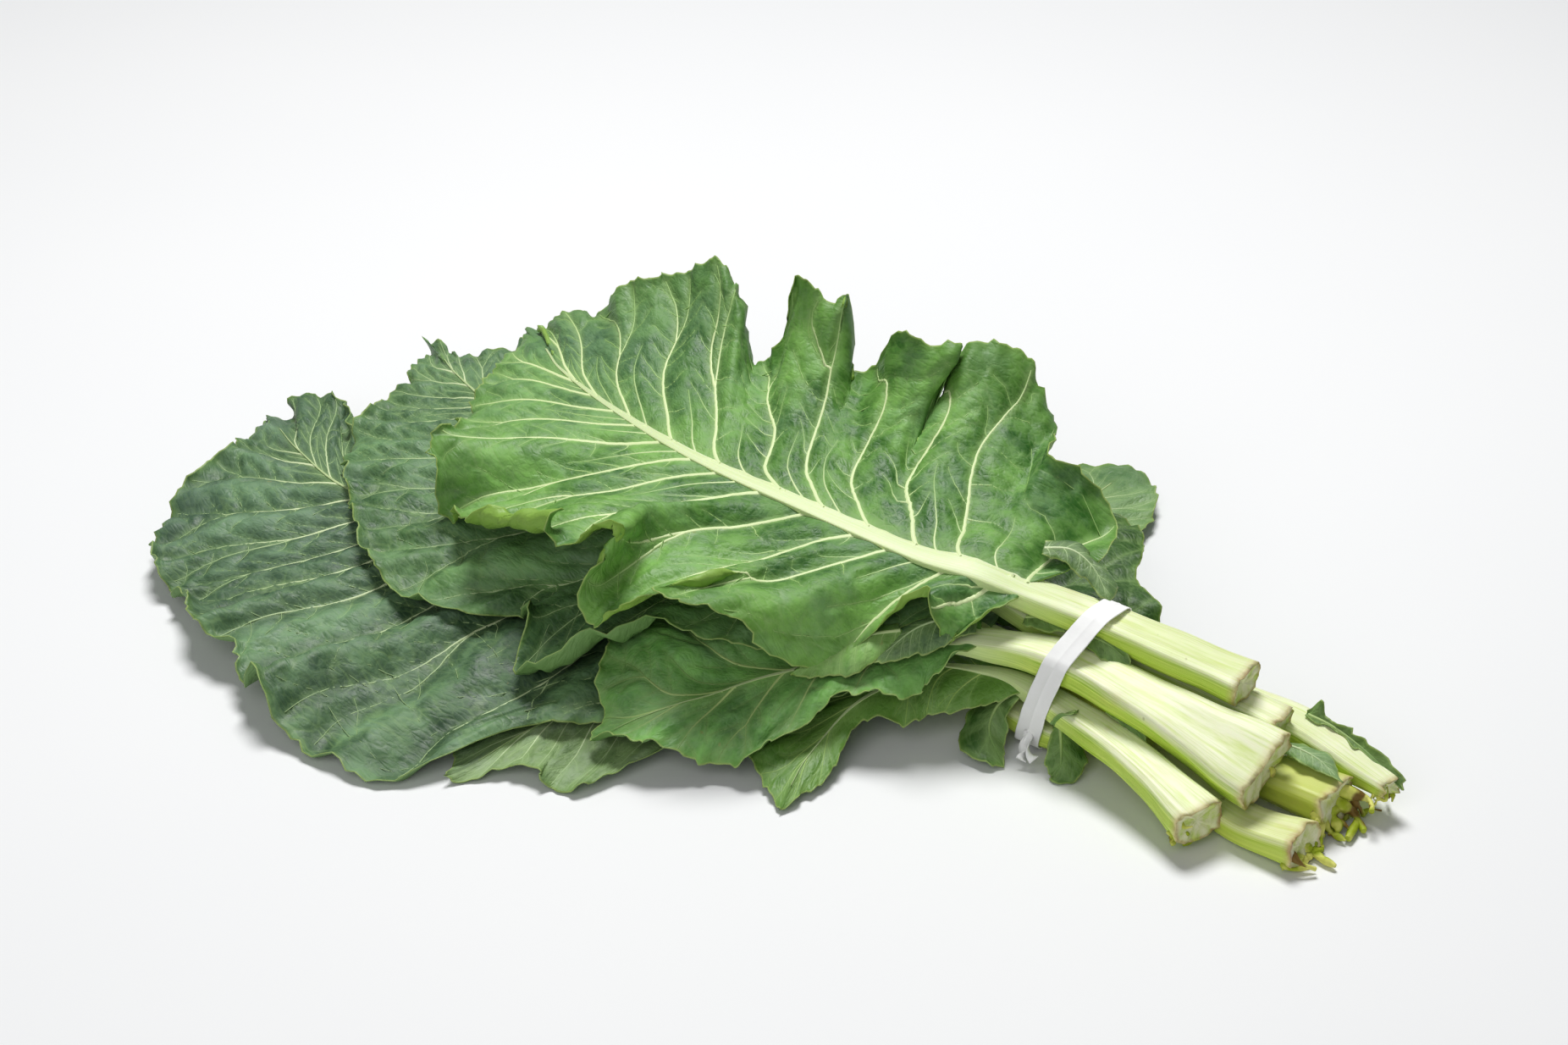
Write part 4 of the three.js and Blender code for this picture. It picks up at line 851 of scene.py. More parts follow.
def stalk_mesh(leaf):
    rings = leaf["rings"]
    count = len(rings)
    random = np.random.default_rng(leaf["seed"] + 21)
    numbers = np.arange(count * RING).reshape(count, RING)
    faces = [tube_faces(numbers)]
    hub = rings[0].mean(axis=0)
    along = unit(rings[3].mean(axis=0) - hub)
    points = [rings.reshape(-1, 3)]
    marks = {"cut": [np.interp(np.arange(count * RING) // RING, [0, 1.6], [1, 0])],
             "down": [np.repeat(leaf["down"], RING)], "crown": [np.tile(np.sin(TURN), count)],
             "turn": [np.tile(TURN, count)], "core": [np.ones(count * RING)]}

    def mark(size, **values):
        for key, value in values.items():
            marks[key].append(np.broadcast_to(value, (size,)).astype(float))

    last, total = numbers[0], count * RING
    for inset in CUT_RINGS:
        rough = waves(np.arange(RING), random, (4.0, 7.0, 2.7))
        circle = hub + (rings[0] - hub) * inset
        points.append(circle + along * (1.3 * (1 - inset) + 0.5 * inset * rough)[:, None])
        mark(RING, cut=1.0, down=0.0, crown=0.0, turn=TURN, core=inset)
        row = np.arange(total, total + RING)
        total += RING
        faces.append(np.stack([last, row, np.roll(row, -1), np.roll(last, -1)], axis=-1))
        last = row
    for row, centre, is_cut in ((last, hub + along * 1.2, 1.0), (numbers[-1], rings[-1].mean(axis=0), 0.0)):
        points.append(centre[None])
        mark(1, cut=is_cut, down=1.0 - is_cut, crown=0.0, turn=0.0, core=0.0)
        following, hubs = np.roll(row, -1), np.full(RING, total)
        total += 1
        faces.append(np.stack([row, hubs, following] if is_cut else [row, following, hubs], axis=-1))
    values = {key: np.concatenate(parts) for key, parts in marks.items()}
    uv = np.stack([values.pop("turn") / (2 * np.pi), values["down"]], axis=-1)
    values["bare"] = np.interp(values["down"], leaf["down"], leaf["bare"])
    return make_piece(leaf["name"] + "_stalk", np.concatenate(points),
                      [face for group in faces for face in group.tolist()], values, uv)


# %% [markdown]
# ## Veins and torn fibres as strands
#
# Side veins stand out under a collard leaf and lie almost flush on top. Each is a thread of
# points laid on the blade, with a radius that shrinks outwards. A small Geometry Nodes tree
# turns all the threads of a leaf into round strands at once. The fibres that hang from the
# butts, where the stalks were torn off, are threads of the same kind, only thicker and crooked.

# %% Threads
LOWEST_ROOT = -9.0
FIBRE_FLOOR = 1.6
FIBRE_POINTS = 12
FLUSH = 0.62  # how far a vein is sunk into the blade, as a share of its radius


def vein_threads(leaf):
    threads = []
    for vein in leaf["mains"] + leaf["twigs"]:
        points, r, c = on_blade(leaf, leaf["grid"], vein)
        radii = vein[3]
        threads.append((points - leaf["normals"][r, c] * (radii * FLUSH)[:, None], radii))
    if leaf["stalk"] is None:
        middle = leaf["grid"][1:-1, leaf["grid"].shape[1] // 2]
        radii = np.linspace(0.75, 0.2, len(middle))
        threads.append((middle - [0, 0, 0.1], radii))
    return threads


def torn_fibres(leaf, count, longest, thickness):
    random = np.random.default_rng(leaf["seed"] + 51)
    rim = leaf["rings"][1]
    hub = rim.mean(axis=0)
    outward = unit(leaf["rings"][0].mean(axis=0) - leaf["rings"][4].mean(axis=0))
    t = np.linspace(0, 1, FIBRE_POINTS)[:, None]
    threads = []
    while len(threads) < count:
        place = rim[random.integers(RING)] - hub
        if place[2] > 1.5 + 4 * random.random() or place[2] < LOWEST_ROOT:
            continue
        length = longest * (0.35 + 0.65 * random.random())
        sway, twist = random.normal(0, 0.4, 3), random.normal(0, 0.55, 3)
        line = hub + place * (0.45 + 0.5 * random.random()) + outward * (0.6 * length * t - 2.2)
        line = line + sway * length * t**2 + twist * length * 0.4 * np.sin((4 + 4 * random.random()) * t) * t
        line[:, 2] = np.maximum(line[:, 2] - length * 0.7 * t[:, 0] ** 1.6, FIBRE_FLOOR)
        knots = 1 + 0.4 * np.sin((8 + 9 * random.random()) * t[:, 0] + 6 * random.random())
        radii = thickness * (0.45 + 0.95 * random.random()) * (1 - 0.55 * t[:, 0] ** 3) * knots
        threads.append((line, radii))
    return threads


def thread_object(name, threads):
    """All threads as one object of loose edges, each point knowing its radius."""
    points = np.concatenate([line for line, _ in threads])
    radii = np.concatenate([radius for _, radius in threads])
    edges, first = [], 0
    for line, _ in threads:
        edges.extend((i, i + 1) for i in range(first, first + len(line) - 1))
        first += len(line)
    mesh = bpy.data.meshes.new(name)
    mesh.from_pydata(((points + SHIFT) * MM).tolist(), edges, [])
    layer = mesh.attributes.new("strand_radius", "FLOAT", "POINT")
    layer.data.foreach_set("value", (radii * MM).astype(np.float32))
    return put_in(name, mesh)


# %% The strand tree
def strand_tree():
    tree = bpy.data.node_groups.new("strands", "GeometryNodeTree")
    for label, way, kind in (("Geometry", "INPUT", "Geometry"), ("Sides", "INPUT", "Int"),
                             ("Material", "INPUT", "Material"), ("Geometry", "OUTPUT", "Geometry")):
        tree.interface.new_socket(label, in_out=way, socket_type="NodeSocket" + kind)
    given, result = tree.nodes.new("NodeGroupInput"), tree.nodes.new("NodeGroupOutput")
    curve, radius, section, skin, solid, finish = (tree.nodes.new("GeometryNode" + kind) for kind in (
        "MeshToCurve", "InputNamedAttribute", "CurvePrimitiveCircle", "CurveToMesh", "RealizeInstances",
        "SetMaterial"))
    radius.data_type = "FLOAT"
    radius.inputs["Name"].default_value = "strand_radius"
    section.inputs["Radius"].default_value = 1.0
    skin.inputs["Fill Caps"].default_value = True
    for node, output, target, socket in (
            (given, "Geometry", curve, "Mesh"), (given, "Sides", section, "Resolution"),
            (curve, "Curve", skin, "Curve"), (section, "Curve", skin, "Profile Curve"),
            (radius, "Attribute", skin, "Scale"),
            (skin, "Mesh", solid, "Geometry"), (solid, "Geometry", finish, "Geometry"),
            (given, "Material", finish, "Material"), (finish, "Geometry", result, "Geometry")):
        tree.links.new(node.outputs[output], target.inputs[socket])
    return tree


def grown(piece, tree, values):
    """Runs a tree on a piece and keeps the result as a plain mesh."""
    modifier = piece.modifiers.new("growth", "NODES")
    modifier.node_group = tree
    for item in tree.interface.items_tree:
        if item.item_type == "SOCKET" and item.in_out == "INPUT" and item.name in values:
            modifier[item.identifier] = values[item.name]
    bpy.context.view_layer.update()
    evaluated = piece.evaluated_get(bpy.context.evaluated_depsgraph_get())
    mesh = bpy.data.meshes.new_from_object(evaluated)
    mesh.name = piece.name
    piece.modifiers.remove(modifier)
    piece.data = mesh
    mesh.polygons.foreach_set("use_smooth", np.ones(len(mesh.polygons), bool))
    return piece


# %% [markdown]
# ## Writing finishes as sums
#
# A finish is a node tree, and its maths reads best as Python. A wrapped socket can be added,
# multiplied and stepped; every other node comes from one method, with its settings made first.
# Coats of paint go over each other in a list, which keeps the order in which they lie in sight.

# %% A finish and its wrapped sockets
def linear_paint(paint):
    """A paint-chart colour of three numbers up to 255, in the linear values that shaders use."""
    parts = [value / 255 for value in paint]
    return *(part / 12.92 if part <= 0.04045 else ((part + 0.055) / 1.055) ** 2.4 for part in parts), 1.0


class Amount:
    def __init__(self, finish, socket):
        self.finish, self.socket = finish, socket

    def _with(self, operation, first, second=0.0):
        node = self.finish.add("ShaderNodeMath", {"operation": operation}, {0: first, 1: second})
        return Amount(self.finish, node.outputs[0])

    def __add__(self, other):
        return self._with("ADD", self, other)

    def __sub__(self, other):
        return self._with("SUBTRACT", self, other)

    def __rsub__(self, other):
        return self._with("SUBTRACT", other, self)

    def __mul__(self, other):
        return self._with("MULTIPLY", self, other)

    __radd__, __rmul__ = __add__, __mul__

    def rises(self, low, high):
        """0 below low, 1 above high, and a soft step between. With low over high it falls."""
        node = self.finish.add("ShaderNodeMapRange", {"interpolation_type": "SMOOTHSTEP"},
                               {"Value": self, "From Min": low, "From Max": high})
        return Amount(self.finish, node.outputs["Result"])


class Finish:
    def __init__(self, name):
        self.material = bpy.data.materials.new(name)
        self.material.use_nodes = True
        self.tree = self.material.node_tree
        self.tree.nodes.clear()
        self.result = self.tree.nodes.new("ShaderNodeOutputMaterial")

    def add(self, kind, settings=None, sockets=None):
        node = self.tree.nodes.new(kind)
        for key, value in (settings or {}).items():
            setattr(node, key, value)
        for key, value in (sockets or {}).items():
            value = value.socket if isinstance(value, Amount) else value
            if isinstance(value, bpy.types.NodeSocket):
                self.tree.links.new(value, node.inputs[key])
            else:
                node.inputs[key].default_value = value
        return node

    def attribute(self, name):
        return Amount(self, self.add("ShaderNodeAttribute", {"attribute_name": name}).outputs["Fac"])

    def mix(self, amount, first, second):
        first, second = (linear_paint(colour) if isinstance(colour, tuple) else colour
                         for colour in (first, second))
        return self.add("ShaderNodeMix", {"data_type": "RGBA"}, {0: amount, 6: first, 7: second}).outputs[2]

    def layers(self, colour, *coats):
        """Lays coats over a colour one after another, each an amount and a paint."""
        for amount, over in coats:
            colour = self.mix(amount, colour, over)
        return colour

    def noise(self, vector, scale, detail=3.0, roughness=0.55):
        node = self.add("ShaderNodeTexNoise", None, {
            "Vector": vector, "Scale": scale, "Detail": detail, "Roughness": roughness})
        return Amount(self, node.outputs[0])

    def net(self, vector, scale):
        """Distance to the nearest border between cells, 0 on the border."""
        node = self.add("ShaderNodeTexVoronoi", {"feature": "DISTANCE_TO_EDGE"},
                        {"Vector": vector, "Scale": scale, "Randomness": 0.9})
        return Amount(self, node.outputs["Distance"])

    def place(self):
        return self.add("ShaderNodeTexCoord").outputs["Object"]

    def shifted(self, vector, by):
        return self.add("ShaderNodeVectorMath", {"operation": "ADD"}, {0: vector, 1: by}).outputs[0]

    def leaf_map(self):
        return self.add("ShaderNodeUVMap", {"uv_map": "leaf_map"}).outputs[0]

    def marks(self, *names):
        return [self.attribute(name) for name in names]

    def warped(self, vector, by, amount):
        """A vector pushed about by a noise, so that straight borders wander."""
        noise = self.add("ShaderNodeTexNoise", None, {"Vector": vector, "Scale": by, "Detail": 2.0})
        centred = self.add("ShaderNodeVectorMath", {"operation": "SUBTRACT"},
                           {0: noise.outputs["Color"], 1: (0.5, 0.5, 0.5)})
        scaled = self.add("ShaderNodeVectorMath", {"operation": "SCALE"},
                          {0: centred.outputs[0], "Scale": amount})
        return self.shifted(vector, scaled.outputs[0])

    def close(self, colour, roughness, height=None, bump=0.3, depth=0.001, **constants):
        sockets = {"Base Color": colour, "Roughness": roughness, **constants}
        if height is not None:
            node = self.add("ShaderNodeBump", None, {"Height": height, "Strength": bump, "Distance": depth})
            sockets["Normal"] = node.outputs[0]
        surface = self.add("ShaderNodeBsdfPrincipled", None, sockets)
        self.tree.links.new(surface.outputs[0], self.result.inputs["Surface"])
        return self.material


# %% [markdown]
# ## The lamina's finish
#
# A collard blade is a deep green under a thin bluish wax. It is paler along its veins, yellower
# towards its margin, and has a faint net of fine veins and here and there a brown spot. On some
# leaves painted shade darkens it where it dips beside a side vein, and on every leaf painted shade
# makes the far side darker and duller; it is paler at its tip. Its underside is paler and yellower,
# partly its own colour and partly painted light shining through. All of it is read from the blade's
# own marks, so it follows the leaf.

# %% Blade finish
def blade_finish(name, deep, light, bloom, shift, wax=0.45, warm=0.35, halo=0.14,
                 below=(112, 150, 84), painted_pleat_shade=0.0):
    finish = Finish(name)
    place, leaf_map = finish.place(), finish.leaf_map()
    wander = finish.warped(finish.shifted(leaf_map, (shift, shift * 1.7, 0.0)), 9.0, 0.05)
    edge, rib, vein, twig, out, under = finish.marks("edge", "rib", "vein", "twig", "out", "under")
    parts = finish.add("ShaderNodeSeparateXYZ", None, {0: leaf_map}).outputs
    across, along = Amount(finish, parts[0]), Amount(finish, parts[1])

    clouds = finish.noise(place, 24.0, 3.0).rises(0.38, 0.62)
    mottle = finish.noise(place, 140.0, 4.0, 0.62).rises(0.34, 0.66)
    waxed = finish.noise(place, 62.0, 5.0, 0.65).rises(0.44, 0.74) * wax
    # painted shade: the far half of each blade, from about 80 mm along it, is darkened to a duller
    # blue-green
    painted_far_side_shade = along.rises(0.8, 1.9) * across.rises(0.15, -0.45) * 0.55
    yellower = out.rises(0.55, 1.0) * finish.noise(place, 17.0, 2.0).rises(0.35, 0.65) * warm
    coarse, fine = finish.net(wander, 17.0), finish.net(wander, 46.0)
    patchy = finish.noise(place, 45.0).rises(0.42, 0.62)
    margin = edge.rises(3.5, 0.0) * 0.4 * finish.noise(place, 90.0).rises(0.3, 0.6)
    spots = finish.noise(place, 190.0, 2.0).rises(0.76, 0.8) * 0.3
    colour = finish.layers(
        finish.mix(clouds * 0.6 + mottle * 0.4, deep, light),
        (waxed, bloom),
        (painted_far_side_shade, (66, 98, 74)),
        (along.rises(1.2, 2.2) * 0.25, (120, 150, 128)),
        (yellower, (104, 150, 58)),
        # painted shade: darker green in the dip beside each side vein
        (vein.rises(8.5, 1.5) * painted_pleat_shade, (34, 62, 40)),
        (vein.rises(3.0, 0.4) * halo, (158, 190, 118)),
        (twig.rises(1.5, 0.2) * 0.2, (150, 182, 112)),
        (coarse.rises(0.07, 0.015) * patchy * 0.22, (146, 178, 112)),
        (fine.rises(0.12, 0.02) * 0.1, (140, 172, 106)),
        (margin, (110, 150, 58)),
        (edge.rises(0.8, 0.1) * 0.7, (166, 186, 106)),
        (rib.rises(8.0, 0.5) * 0.2, (160, 190, 110)),
        (spots, (160, 140, 84)),
        # the underside's own paler green, made brighter and yellower as painted light shining through the
        # blade
        (under * 0.8, below))
    roughness = 0.46 + 0.16 * mottle + waxed * 0.14
    height = fine.rises(0.0, 0.3) * 0.3 + coarse.rises(0.0, 0.3) * 0.5 + mottle * 0.45
    return finish.close(colour, roughness, height, 0.36, 0.0008, **{"Specular IOR Level": 0.4})


FRESH, GREY, DARK, YELLOW = "blade_fresh_green", "blade_grey_green", "blade_dark_green", "blade_yellow_green"
# slot, deep and light green, bloom, pattern shift, wax, yellowing, halo, underside (its own paler green and
# painted light shining through), painted shade in the pleats
GREENS = {
    "leaf_top": (FRESH, (34, 90, 18), (130, 184, 84), (134, 174, 124), 0.0, 0.4, 0.4, 0.3,
                 (142, 180, 72)),
    "leaf_second": (GREY, (44, 82, 40), (128, 174, 108), (154, 186, 148), 1.3, 0.42, 0.2, 0.06,
                    (120, 158, 90), 0.3),
    "leaf_left": (GREY, (36, 68, 40), (114, 152, 104), (146, 174, 148), 2.1, 0.42, 0.15, 0.06,
                  (116, 152, 92), 0.5),
    "leaf_middle_near": (DARK, (50, 106, 38), (134, 194, 98), (148, 184, 138), 3.7, 0.4, 0.35, 0.16,
                         (112, 150, 84), 0.25),
    "leaf_low_near": (YELLOW, (70, 116, 36), (108, 152, 60), (116, 150, 90), 4.2, 0.25, 0.5),
    "leaf_back": (DARK, (28, 64, 12), (52, 94, 26), (66, 102, 52), 5.9, 0.15, 0.2),
    "leaf_base_near": (GREY, (92, 122, 74), (146, 170, 116), (170, 188, 156), 6.4, 0.7, 0.3),
    "leaf_base_far": (GREY, (80, 120, 68), (126, 160, 104), (146, 172, 134), 7.8, 0.5, 0.2),
    "leaf_base_left": (GREY, (34, 60, 34), (58, 90, 54), (84, 110, 88), 8.6, 0.45, 0.1),
}

# %% [markdown]
# ## The stalk's finish
#
# A stalk is pale with wax on its flat top, yellow-green down its sides, and streaked along its
# fibres; the top's near white is partly a painted highlight and the sides' deeper yellow-green
# partly painted shade. Where it was torn from the plant the open tissue is pale inside a beige and
# pink-brown rim.

# %% Stalk, vein, fibre and tie finishes
def stalk_finish(name, shift, pale, yellow):
    finish = Finish(name)
    place = finish.place()
    streak_map = finish.add("ShaderNodeMapping", None, {
        "Vector": finish.leaf_map(), "Location": (shift, 0.0, 0.0), "Scale": (40.0, 6.0, 1.0)}).outputs[0]
    streaks = finish.noise(streak_map, 1.6, 4.0, 0.6)
    torn = finish.noise(place, 210.0, 4.0)
    crown, down, bare, cut, core = finish.marks("crown", "down", "bare", "cut", "core")

    side = finish.mix(streaks.rises(0.3, 0.7), (156, 198, 34), (222, 242, 110))
    top = finish.mix(streaks.rises(0.25, 0.6), (214, 230, 140), (246, 250, 212))
    midrib = finish.mix(streaks, (204, 226, 152), (238, 247, 204))
    rim = finish.mix(torn.rises(0.4, 0.6), (172, 150, 92), (222, 210, 154))
    rim = finish.mix(finish.noise(place, 110.0, 3.0).rises(0.54, 0.66) * 0.55, rim, (168, 112, 82))
    pith = finish.mix(torn.rises(0.35, 0.65), (214, 222, 152), (240, 240, 204))
    colour = finish.layers(
        # partly painted highlight and shade: the top of each section near white, its sides a deeper
        # yellow-green
        finish.mix((crown + (streaks - 0.5) * 0.3).rises(0.1, 0.62), side, top),
        (finish.noise(place, 30.0, 2.0).rises(0.45, 0.7) * 0.3 * bare, (200, 222, 96)),
        (bare * yellow, (196, 206, 84)),
        ((1.0 - bare) * 0.85, midrib),
        (down.rises(0.5, 1.0) * (0.35 + pale), (140, 176, 98)),
        (finish.noise(place, 55.0, 3.0).rises(0.58, 0.76) * 0.22 * bare, (206, 176, 120)),
        (finish.noise(place, 150.0, 2.0).rises(0.72, 0.78) * 0.5 * bare, (128, 112, 56)),
        (cut * (0.45 + 0.55 * torn.rises(0.3, 0.5)), finish.mix(core.rises(0.78, 0.97), pith, rim)))
    roughness = 0.36 + 0.16 * streaks + cut * 0.3
    height = streaks * 0.5 + torn * (0.12 + cut * 1.1)
    return finish.close(colour, roughness, height, 0.32, 0.0007, **{
        "Specular IOR Level": 0.45, "Subsurface Weight": 0.12, "Subsurface Scale": 0.004,
        "Subsurface Radius": (0.7, 1.0, 0.3)})


def vein_finish(name, thin, thick):
    finish = Finish(name)
    grain = finish.noise(finish.place(), 180.0, 3.0)
    size = finish.attribute("strand_radius").rises(0.00022, 0.0009)
    colour = finish.mix(size * 0.8 + grain * 0.2, thin, thick)
    return finish.close(colour, 0.42 + 0.15 * grain, grain, 0.2, 0.0003, **{"Specular IOR Level": 0.4})


def fibre_finish():
    finish = Finish("torn_fibre")
    place = finish.place()
    colour = finish.mix(finish.noise(place, 95.0, 3.0).rises(0.4, 0.6), (160, 178, 30), (222, 222, 116))
    colour = finish.mix(finish.noise(place, 110.0, 2.0).rises(0.54, 0.64), colour, (118, 92, 34))
    grain = finish.noise(place, 420.0, 3.0)
    return finish.close(colour, 0.5 + 0.2 * grain, grain, 0.6, 0.0006, **{"Specular IOR Level": 0.35})


def tie_finish():
    finish = Finish("tie_paper")
    place = finish.place()
    fibres = finish.noise(place, 700.0, 4.0, 0.65)
    shade = finish.noise(place, 70.0, 2.0)
    colour = finish.mix(fibres * 0.5 + shade * 0.5, (246, 246, 243), (255, 255, 255))
    return finish.close(colour, 0.5 + 0.15 * fibres, fibres, 0.25, 0.0002, **{"Specular IOR Level": 0.4})


print("finishes are ready")

# %% [markdown]
# ## The leaves as finished pieces
#
# Each leaf becomes a blade, its stalk with the midrib, and its vein strands. They all stand for
# the leaf's one solid and move with the bunch's only body, and so do its small lobes and fibres.

# %% Make the nine leaves
strands = strand_tree()
VEINS = {
    FRESH: vein_finish("veins_fresh", (138, 182, 96), (230, 243, 184)),
    GREY: vein_finish("veins_grey", (150, 180, 122), (232, 243, 196)),
    DARK: vein_finish("veins_dark", (104, 144, 72), (196, 218, 140)),
    YELLOW: vein_finish("veins_yellow", (140, 180, 84), (206, 224, 140)),
}
fibre_material = fibre_finish()
laminas = {name: blade_finish("lamina_" + name, *row[1:]) for name, row in GREENS.items()}


def settle(piece, node, material=None):
    if material is not None:
        piece.data.materials.clear()
        piece.data.materials.append(material)
    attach(piece, "root")
    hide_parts(node)
    return piece


def settle_strands(name, threads, node, material, sides=4):
    piece = grown(thread_object(name, threads), strands, {"Sides": sides, "Material": material})
    return settle(piece, node)


DULL_MIDRIB = 0.25  # how much more the covered leaves' midribs fade into the blade than the top one's
STALK_YELLOW = {"leaf_left": 0.85, "leaf_base_left": 0.4}
for leaf in LEAVES:
    name = leaf["name"]
    slot, shift = GREENS[name][0], GREENS[name][4]
    blade = settle(blade_mesh(leaf), name, laminas[name])
    finish = stalk_finish("stalk_" + name, shift, 0.0 if name == "leaf_top" else DULL_MIDRIB,
                          STALK_YELLOW.get(name, 0.0))
    stalk = settle(stalk_mesh(leaf), name, finish)
    veins = settle_strands(name + "_veins", vein_threads(leaf), name, VEINS[slot])
    counts = [len(piece.data.polygons) for piece in (blade, stalk, veins)]
    print(name, "faces of blade, stalk and veins:", counts)

# %% The small lobes
for lobe in LOBES:
    slot = GREENS[lobe["like"]][0]
    settle(blade_mesh(lobe), lobe["on"], laminas[lobe["like"]])
    settle_strands(lobe["name"] + "_veins", vein_threads(lobe), lobe["on"], VEINS[slot])
print(len(LOBES), "small lobes are in place")

# %% Fibres at the torn butts
# count, greatest length and thickness in millimetres
FIBRES = {"leaf_left": (26, 14, 1.6), "leaf_base_left": (18, 10, 1.4), "leaf_back": (8, 8, 0.8),
          "leaf_low_near": (8, 5.5, 1.1), "leaf_middle_near": (5, 5, 0.9)}
for leaf in LEAVES:
    name = leaf["name"]
    if name in FIBRES:
        threads = torn_fibres(leaf, *FIBRES[name])
        settle_strands(name + "_torn_fibres", threads, name, fibre_material, sides=7)
print(len(FIBRES), "tufts of torn fibres are in place")

# %% [markdown]
# ## The twist tie
#
# A produce tie is a flat paper ribbon with a thin wire along its middle, wrapped once round the
# stalks with its ends twisted together. It pulls straight between the stalks that it touches,
# so its loop is the outline stretched round all their sections.

# %% The ribbon round the stalks
TIE_GAP = 0.35
TIE_TURNS = 96
TIE_STEPS = 220
TIE_CRIMPS = 17
END_WIDTH = 3.6
END_THICKNESS = 0.5
END_STEPS = 14


def under_ribbon():
    found = []
    for leaf in LEAVES:
        rings = leaf["rings"]
        for blend in np.linspace(0, 1, 4):
            points = (rings[:-1] * (1 - blend) + rings[1:] * blend).reshape(-1, 3)
            middle = TIE_X + TIE_LEAN * (points[:, 2] - TIE_MIDDLE_Z)
            found.append(points[np.abs(points[:, 0] - middle) < TIE_WIDTH / 2][:, 1:])
    return np.concatenate(found)


def ribbon_loop(sections, gap):
    turn = 2 * np.pi * np.arange(TIE_TURNS) / TIE_TURNS
    normals = np.stack([np.cos(turn), np.sin(turn)], axis=-1)
    reach = (sections @ normals.T).max(axis=0) + gap
    following, reach_next = np.roll(normals, -1, axis=0), np.roll(reach, -1)
    cross = normals[:, 0] * following[:, 1] - normals[:, 1] * following[:, 0]
    return np.stack([(reach * following[:, 1] - reach_next * normals[:, 1]) / cross,
                     (normals[:, 0] * reach_next - following[:, 0] * reach) / cross], axis=-1)


def even_loop(loop, count):
    closed = np.concatenate([loop, loop[:1]])
    run = np.concatenate([[0], np.cumsum(np.linalg.norm(np.diff(closed, axis=0), axis=1))])
    places = np.linspace(0, run[-1], count, endpoint=False)
    return np.stack([np.interp(places, run, closed[:, k]) for k in (0, 1)], axis=-1), run[-1]


def tie_ribbon():
    random = np.random.default_rng(5)
    loop, girth = even_loop(ribbon_loop(under_ribbon(), TIE_GAP), TIE_STEPS)
    outward = unit(np.roll(loop, -1, axis=0) - np.roll(loop, 1, axis=0))[:, ::-1] * [1, -1]
    run = np.linspace(0, girth, len(loop), endpoint=False)
    across = np.array([-1, -0.93, -0.7, -0.4, -0.14, -0.06, 0, 0.06, 0.14, 0.4, 0.7, 0.93, 1])
    wire = 0.18 * np.exp(-(across / 0.1) ** 2)
    crimp = 0.10 * np.sin(run / girth * 2 * np.pi * TIE_CRIMPS)[:, None] * np.abs(across) ** 2
    crimp = crimp + 0.12 * waves(run, random, (girth / 3, girth / 5))[:, None] * across
    outer = TIE_THICKNESS * 0.55 + wire + crimp + 0.12
    inner = -0.1 * wire + crimp

    def skin(height):
        y = loop[:, None, 0] + outward[:, None, 0] * height
        z = loop[:, None, 1] + outward[:, None, 1] * height
        edge = 0.12 * waves(run, random, (girth / 9, girth / 4))[:, None]
        x = TIE_X + TIE_LEAN * (z - TIE_MIDDLE_Z) + across * TIE_WIDTH / 2 + edge
        return np.stack([x, y, z], axis=-1)

    top, bottom = skin(outer), skin(np.broadcast_to(inner, outer.shape))
    section = np.concatenate([top, bottom[:, ::-1]], axis=1)
    numbers = np.arange(section.size // 3).reshape(section.shape[:2])
    return make_piece("twist_tie_loop", section, tube_faces(numbers, closed=True))


def twisted_strip(name, path, start, turns):
    """A flat strip that turns about its own line as it runs along a path."""
    path = np.asarray(path, float)
    places = np.linspace(0, len(path) - 1, END_STEPS * (len(path) - 1))
    table = np.column_stack([np.arange(len(path)), path])
    line = np.stack([smooth(table, places, column) for column in (1, 2, 3)], axis=-1)
    along = unit(np.gradient(line, axis=0))
    aside = unit(np.cross(along, [0.3, 0.2, 1.0]))
    third = np.cross(along, aside)
    angle = (start + turns * 2 * np.pi * places / places[-1])[:, None]
    flat = aside * np.cos(angle) + third * np.sin(angle)
    thick = -aside * np.sin(angle) + third * np.cos(angle)
    taper = np.interp(places, [0, 0.6, places[-1]], [END_WIDTH * 0.7, END_WIDTH, END_WIDTH])[:, None]
    corners = [(-0.5, -0.5), (-0.17, -0.5), (0, -0.8), (0.17, -0.5), (0.5, -0.5),
               (0.5, 0.5), (0.17, 0.5), (0, 0.8), (-0.17, 0.5), (-0.5, 0.5)]
    rings = np.stack([line + flat * taper * u + thick * END_THICKNESS * v for u, v in corners], axis=1)
    numbers = np.arange(rings.size // 3).reshape(rings.shape[:2])
    caps = [numbers[0, ::-1].tolist(), numbers[-1].tolist()]
    return make_piece(name, rings, tube_faces(numbers).tolist() + caps)


tie_material = tie_finish()
settle(tie_ribbon(), "twist_tie", tie_material)
TIE_ENDS = (
    ("twist_tie_end_one", [[-1.2, -19.8, 9.6], [-0.2, -21.6, 6.8], [1.6, -23.4, 5.2], [3.6, -24.8, 4.4],
                           [5.6, -25.6, 3.8]], 0.3, 0.6),
    ("twist_tie_end_two", [[-1.8, -19.6, 8.8], [-1.2, -21.6, 5.6], [0, -23.8, 4.2], [1.2, -25.8, 3.6],
                           [1.8, -27.6, 3.4]], 1.9, 0.7),
)
for name, path, start, turns in TIE_ENDS:
    settle(twisted_strip(name, path, start, turns), "twist_tie", tie_material)
print("the tie is round", len(LEAVES), "stalks")

# %% [markdown]
# ## Floor, light and camera
#
# The bunch lies on a white sweep under soft light. A lamp high behind it makes the stalks' tops
# bright, and the leaves shade those below. A wide lamp on the near side and weak light from all
# round fill the shadows. The camera has a long lens and looks down from the near right side.

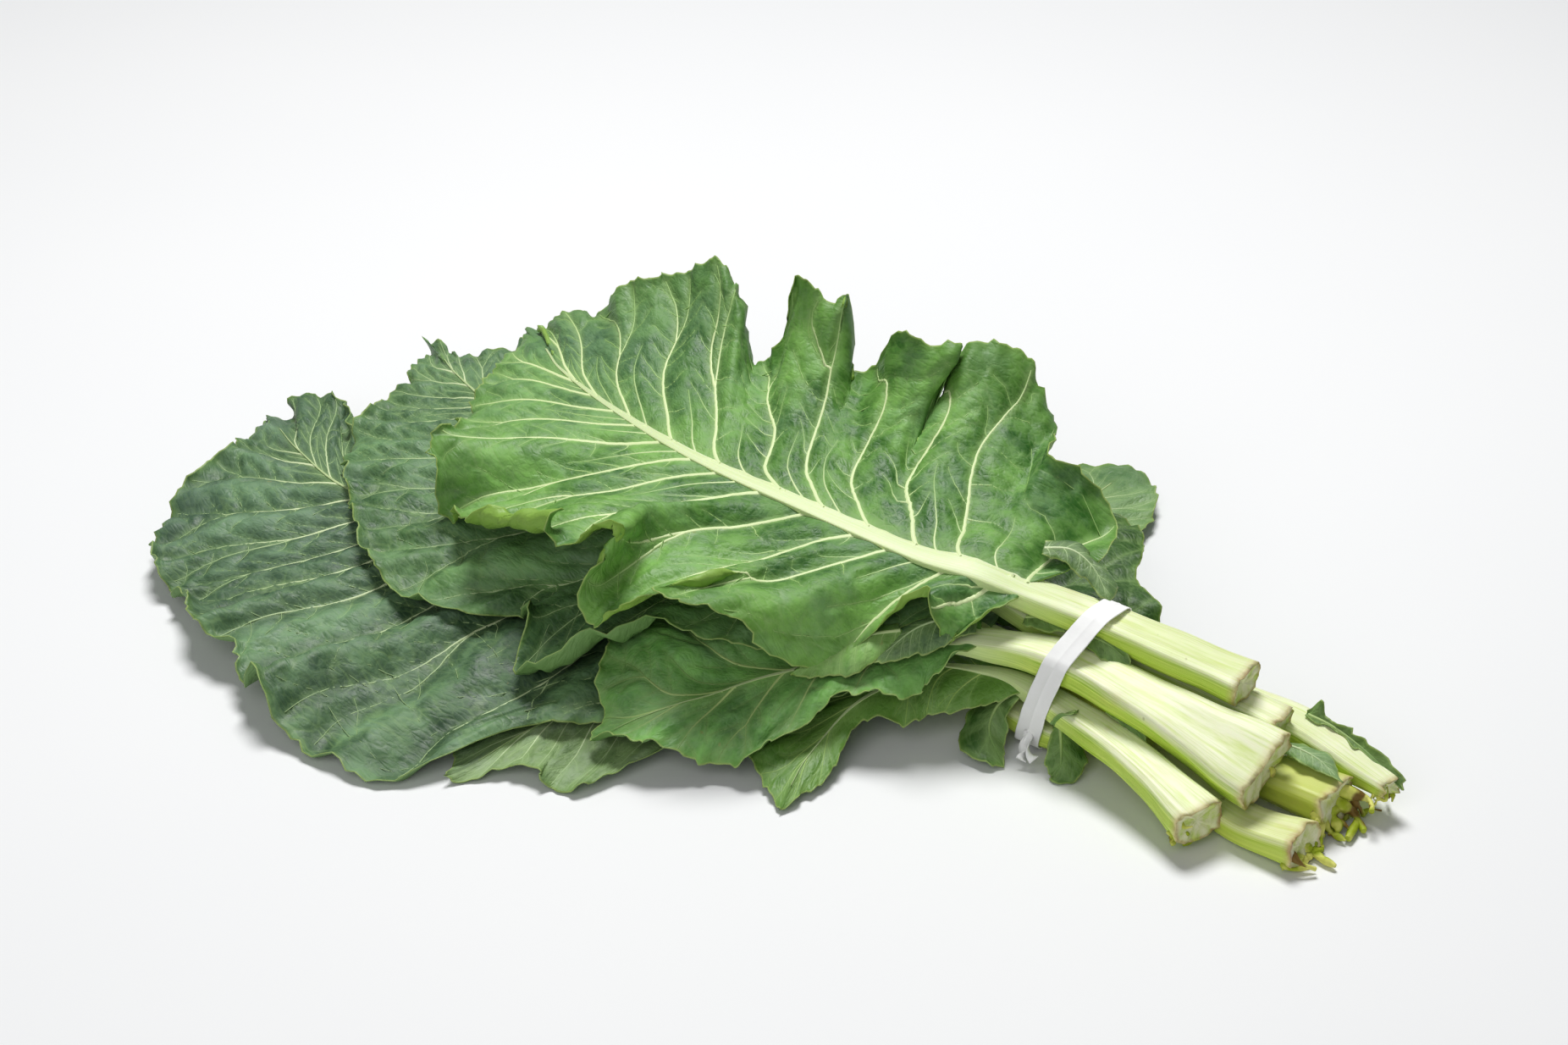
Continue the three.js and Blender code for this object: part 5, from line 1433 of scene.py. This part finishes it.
# %% Set the stage
FLOOR_REACH = 6.0
FLOOR_LEVEL = -0.0003


def white_floor():
    mesh = bpy.data.meshes.new("floor")
    corners = ((-1, -1), (1, -1), (1, 1), (-1, 1))
    mesh.from_pydata([(x * FLOOR_REACH, y * FLOOR_REACH, FLOOR_LEVEL) for x, y in corners], [],
                     [(0, 1, 2, 3)])
    floor = put_in("floor", mesh)
    finish = Finish("white_sweep")
    grain = finish.noise(finish.place(), 3.0, 2.0)
    mesh.materials.append(finish.close(finish.mix(grain, (238, 239, 240), (243, 243, 243)), 0.7))


def lamp(name, place, size, watts, spread):
    """A round lamp that looks at the middle of the bunch."""
    data = bpy.data.lights.new(name, "AREA")
    data.shape, data.size, data.energy, data.spread = "DISK", size, watts, math.radians(spread)
    light = put_in(name, data)
    light.location = place
    light.rotation_euler = Vector([-part for part in place]).to_track_quat("-Z", "Y").to_euler()


white_floor()
lamp("high_back_light", (-0.5, 0.6, 1.9), 0.8, 15, 112)
lamp("near_fill", (0.6, -1.8, 1.4), 2.0, 15, 180)
world = bpy.data.worlds.new("soft_room")
world.use_nodes = True
sky = world.node_tree.nodes["Background"].inputs
sky["Color"].default_value = (0.95, 0.98, 1.0, 1.0)
sky["Strength"].default_value = 0.12
bpy.context.scene.world = world
bpy.context.scene.view_settings.view_transform = "Standard"

CAMERA_TURN, CAMERA_LIFT = math.radians(40), math.radians(30)
CAMERA_DISTANCE = 1.143
CAMERA_AIM = (-120.0, -4.0, 38.0)
aim_point = (np.array(CAMERA_AIM) + SHIFT) * MM
camera_data = bpy.data.cameras.new("camera")
camera_data.lens, camera_data.sensor_width = 75, 36
camera = put_in("camera", camera_data)
back = np.array([math.sin(CAMERA_TURN) * math.cos(CAMERA_LIFT),
                 -math.cos(CAMERA_TURN) * math.cos(CAMERA_LIFT), math.sin(CAMERA_LIFT)])
camera.location = aim_point + back * CAMERA_DISTANCE
camera.rotation_euler = Vector(-back).to_track_quat("-Z", "Y").to_euler()
bpy.context.scene.camera = camera
print("the camera stands at", [round(part, 2) for part in camera.location], "m")
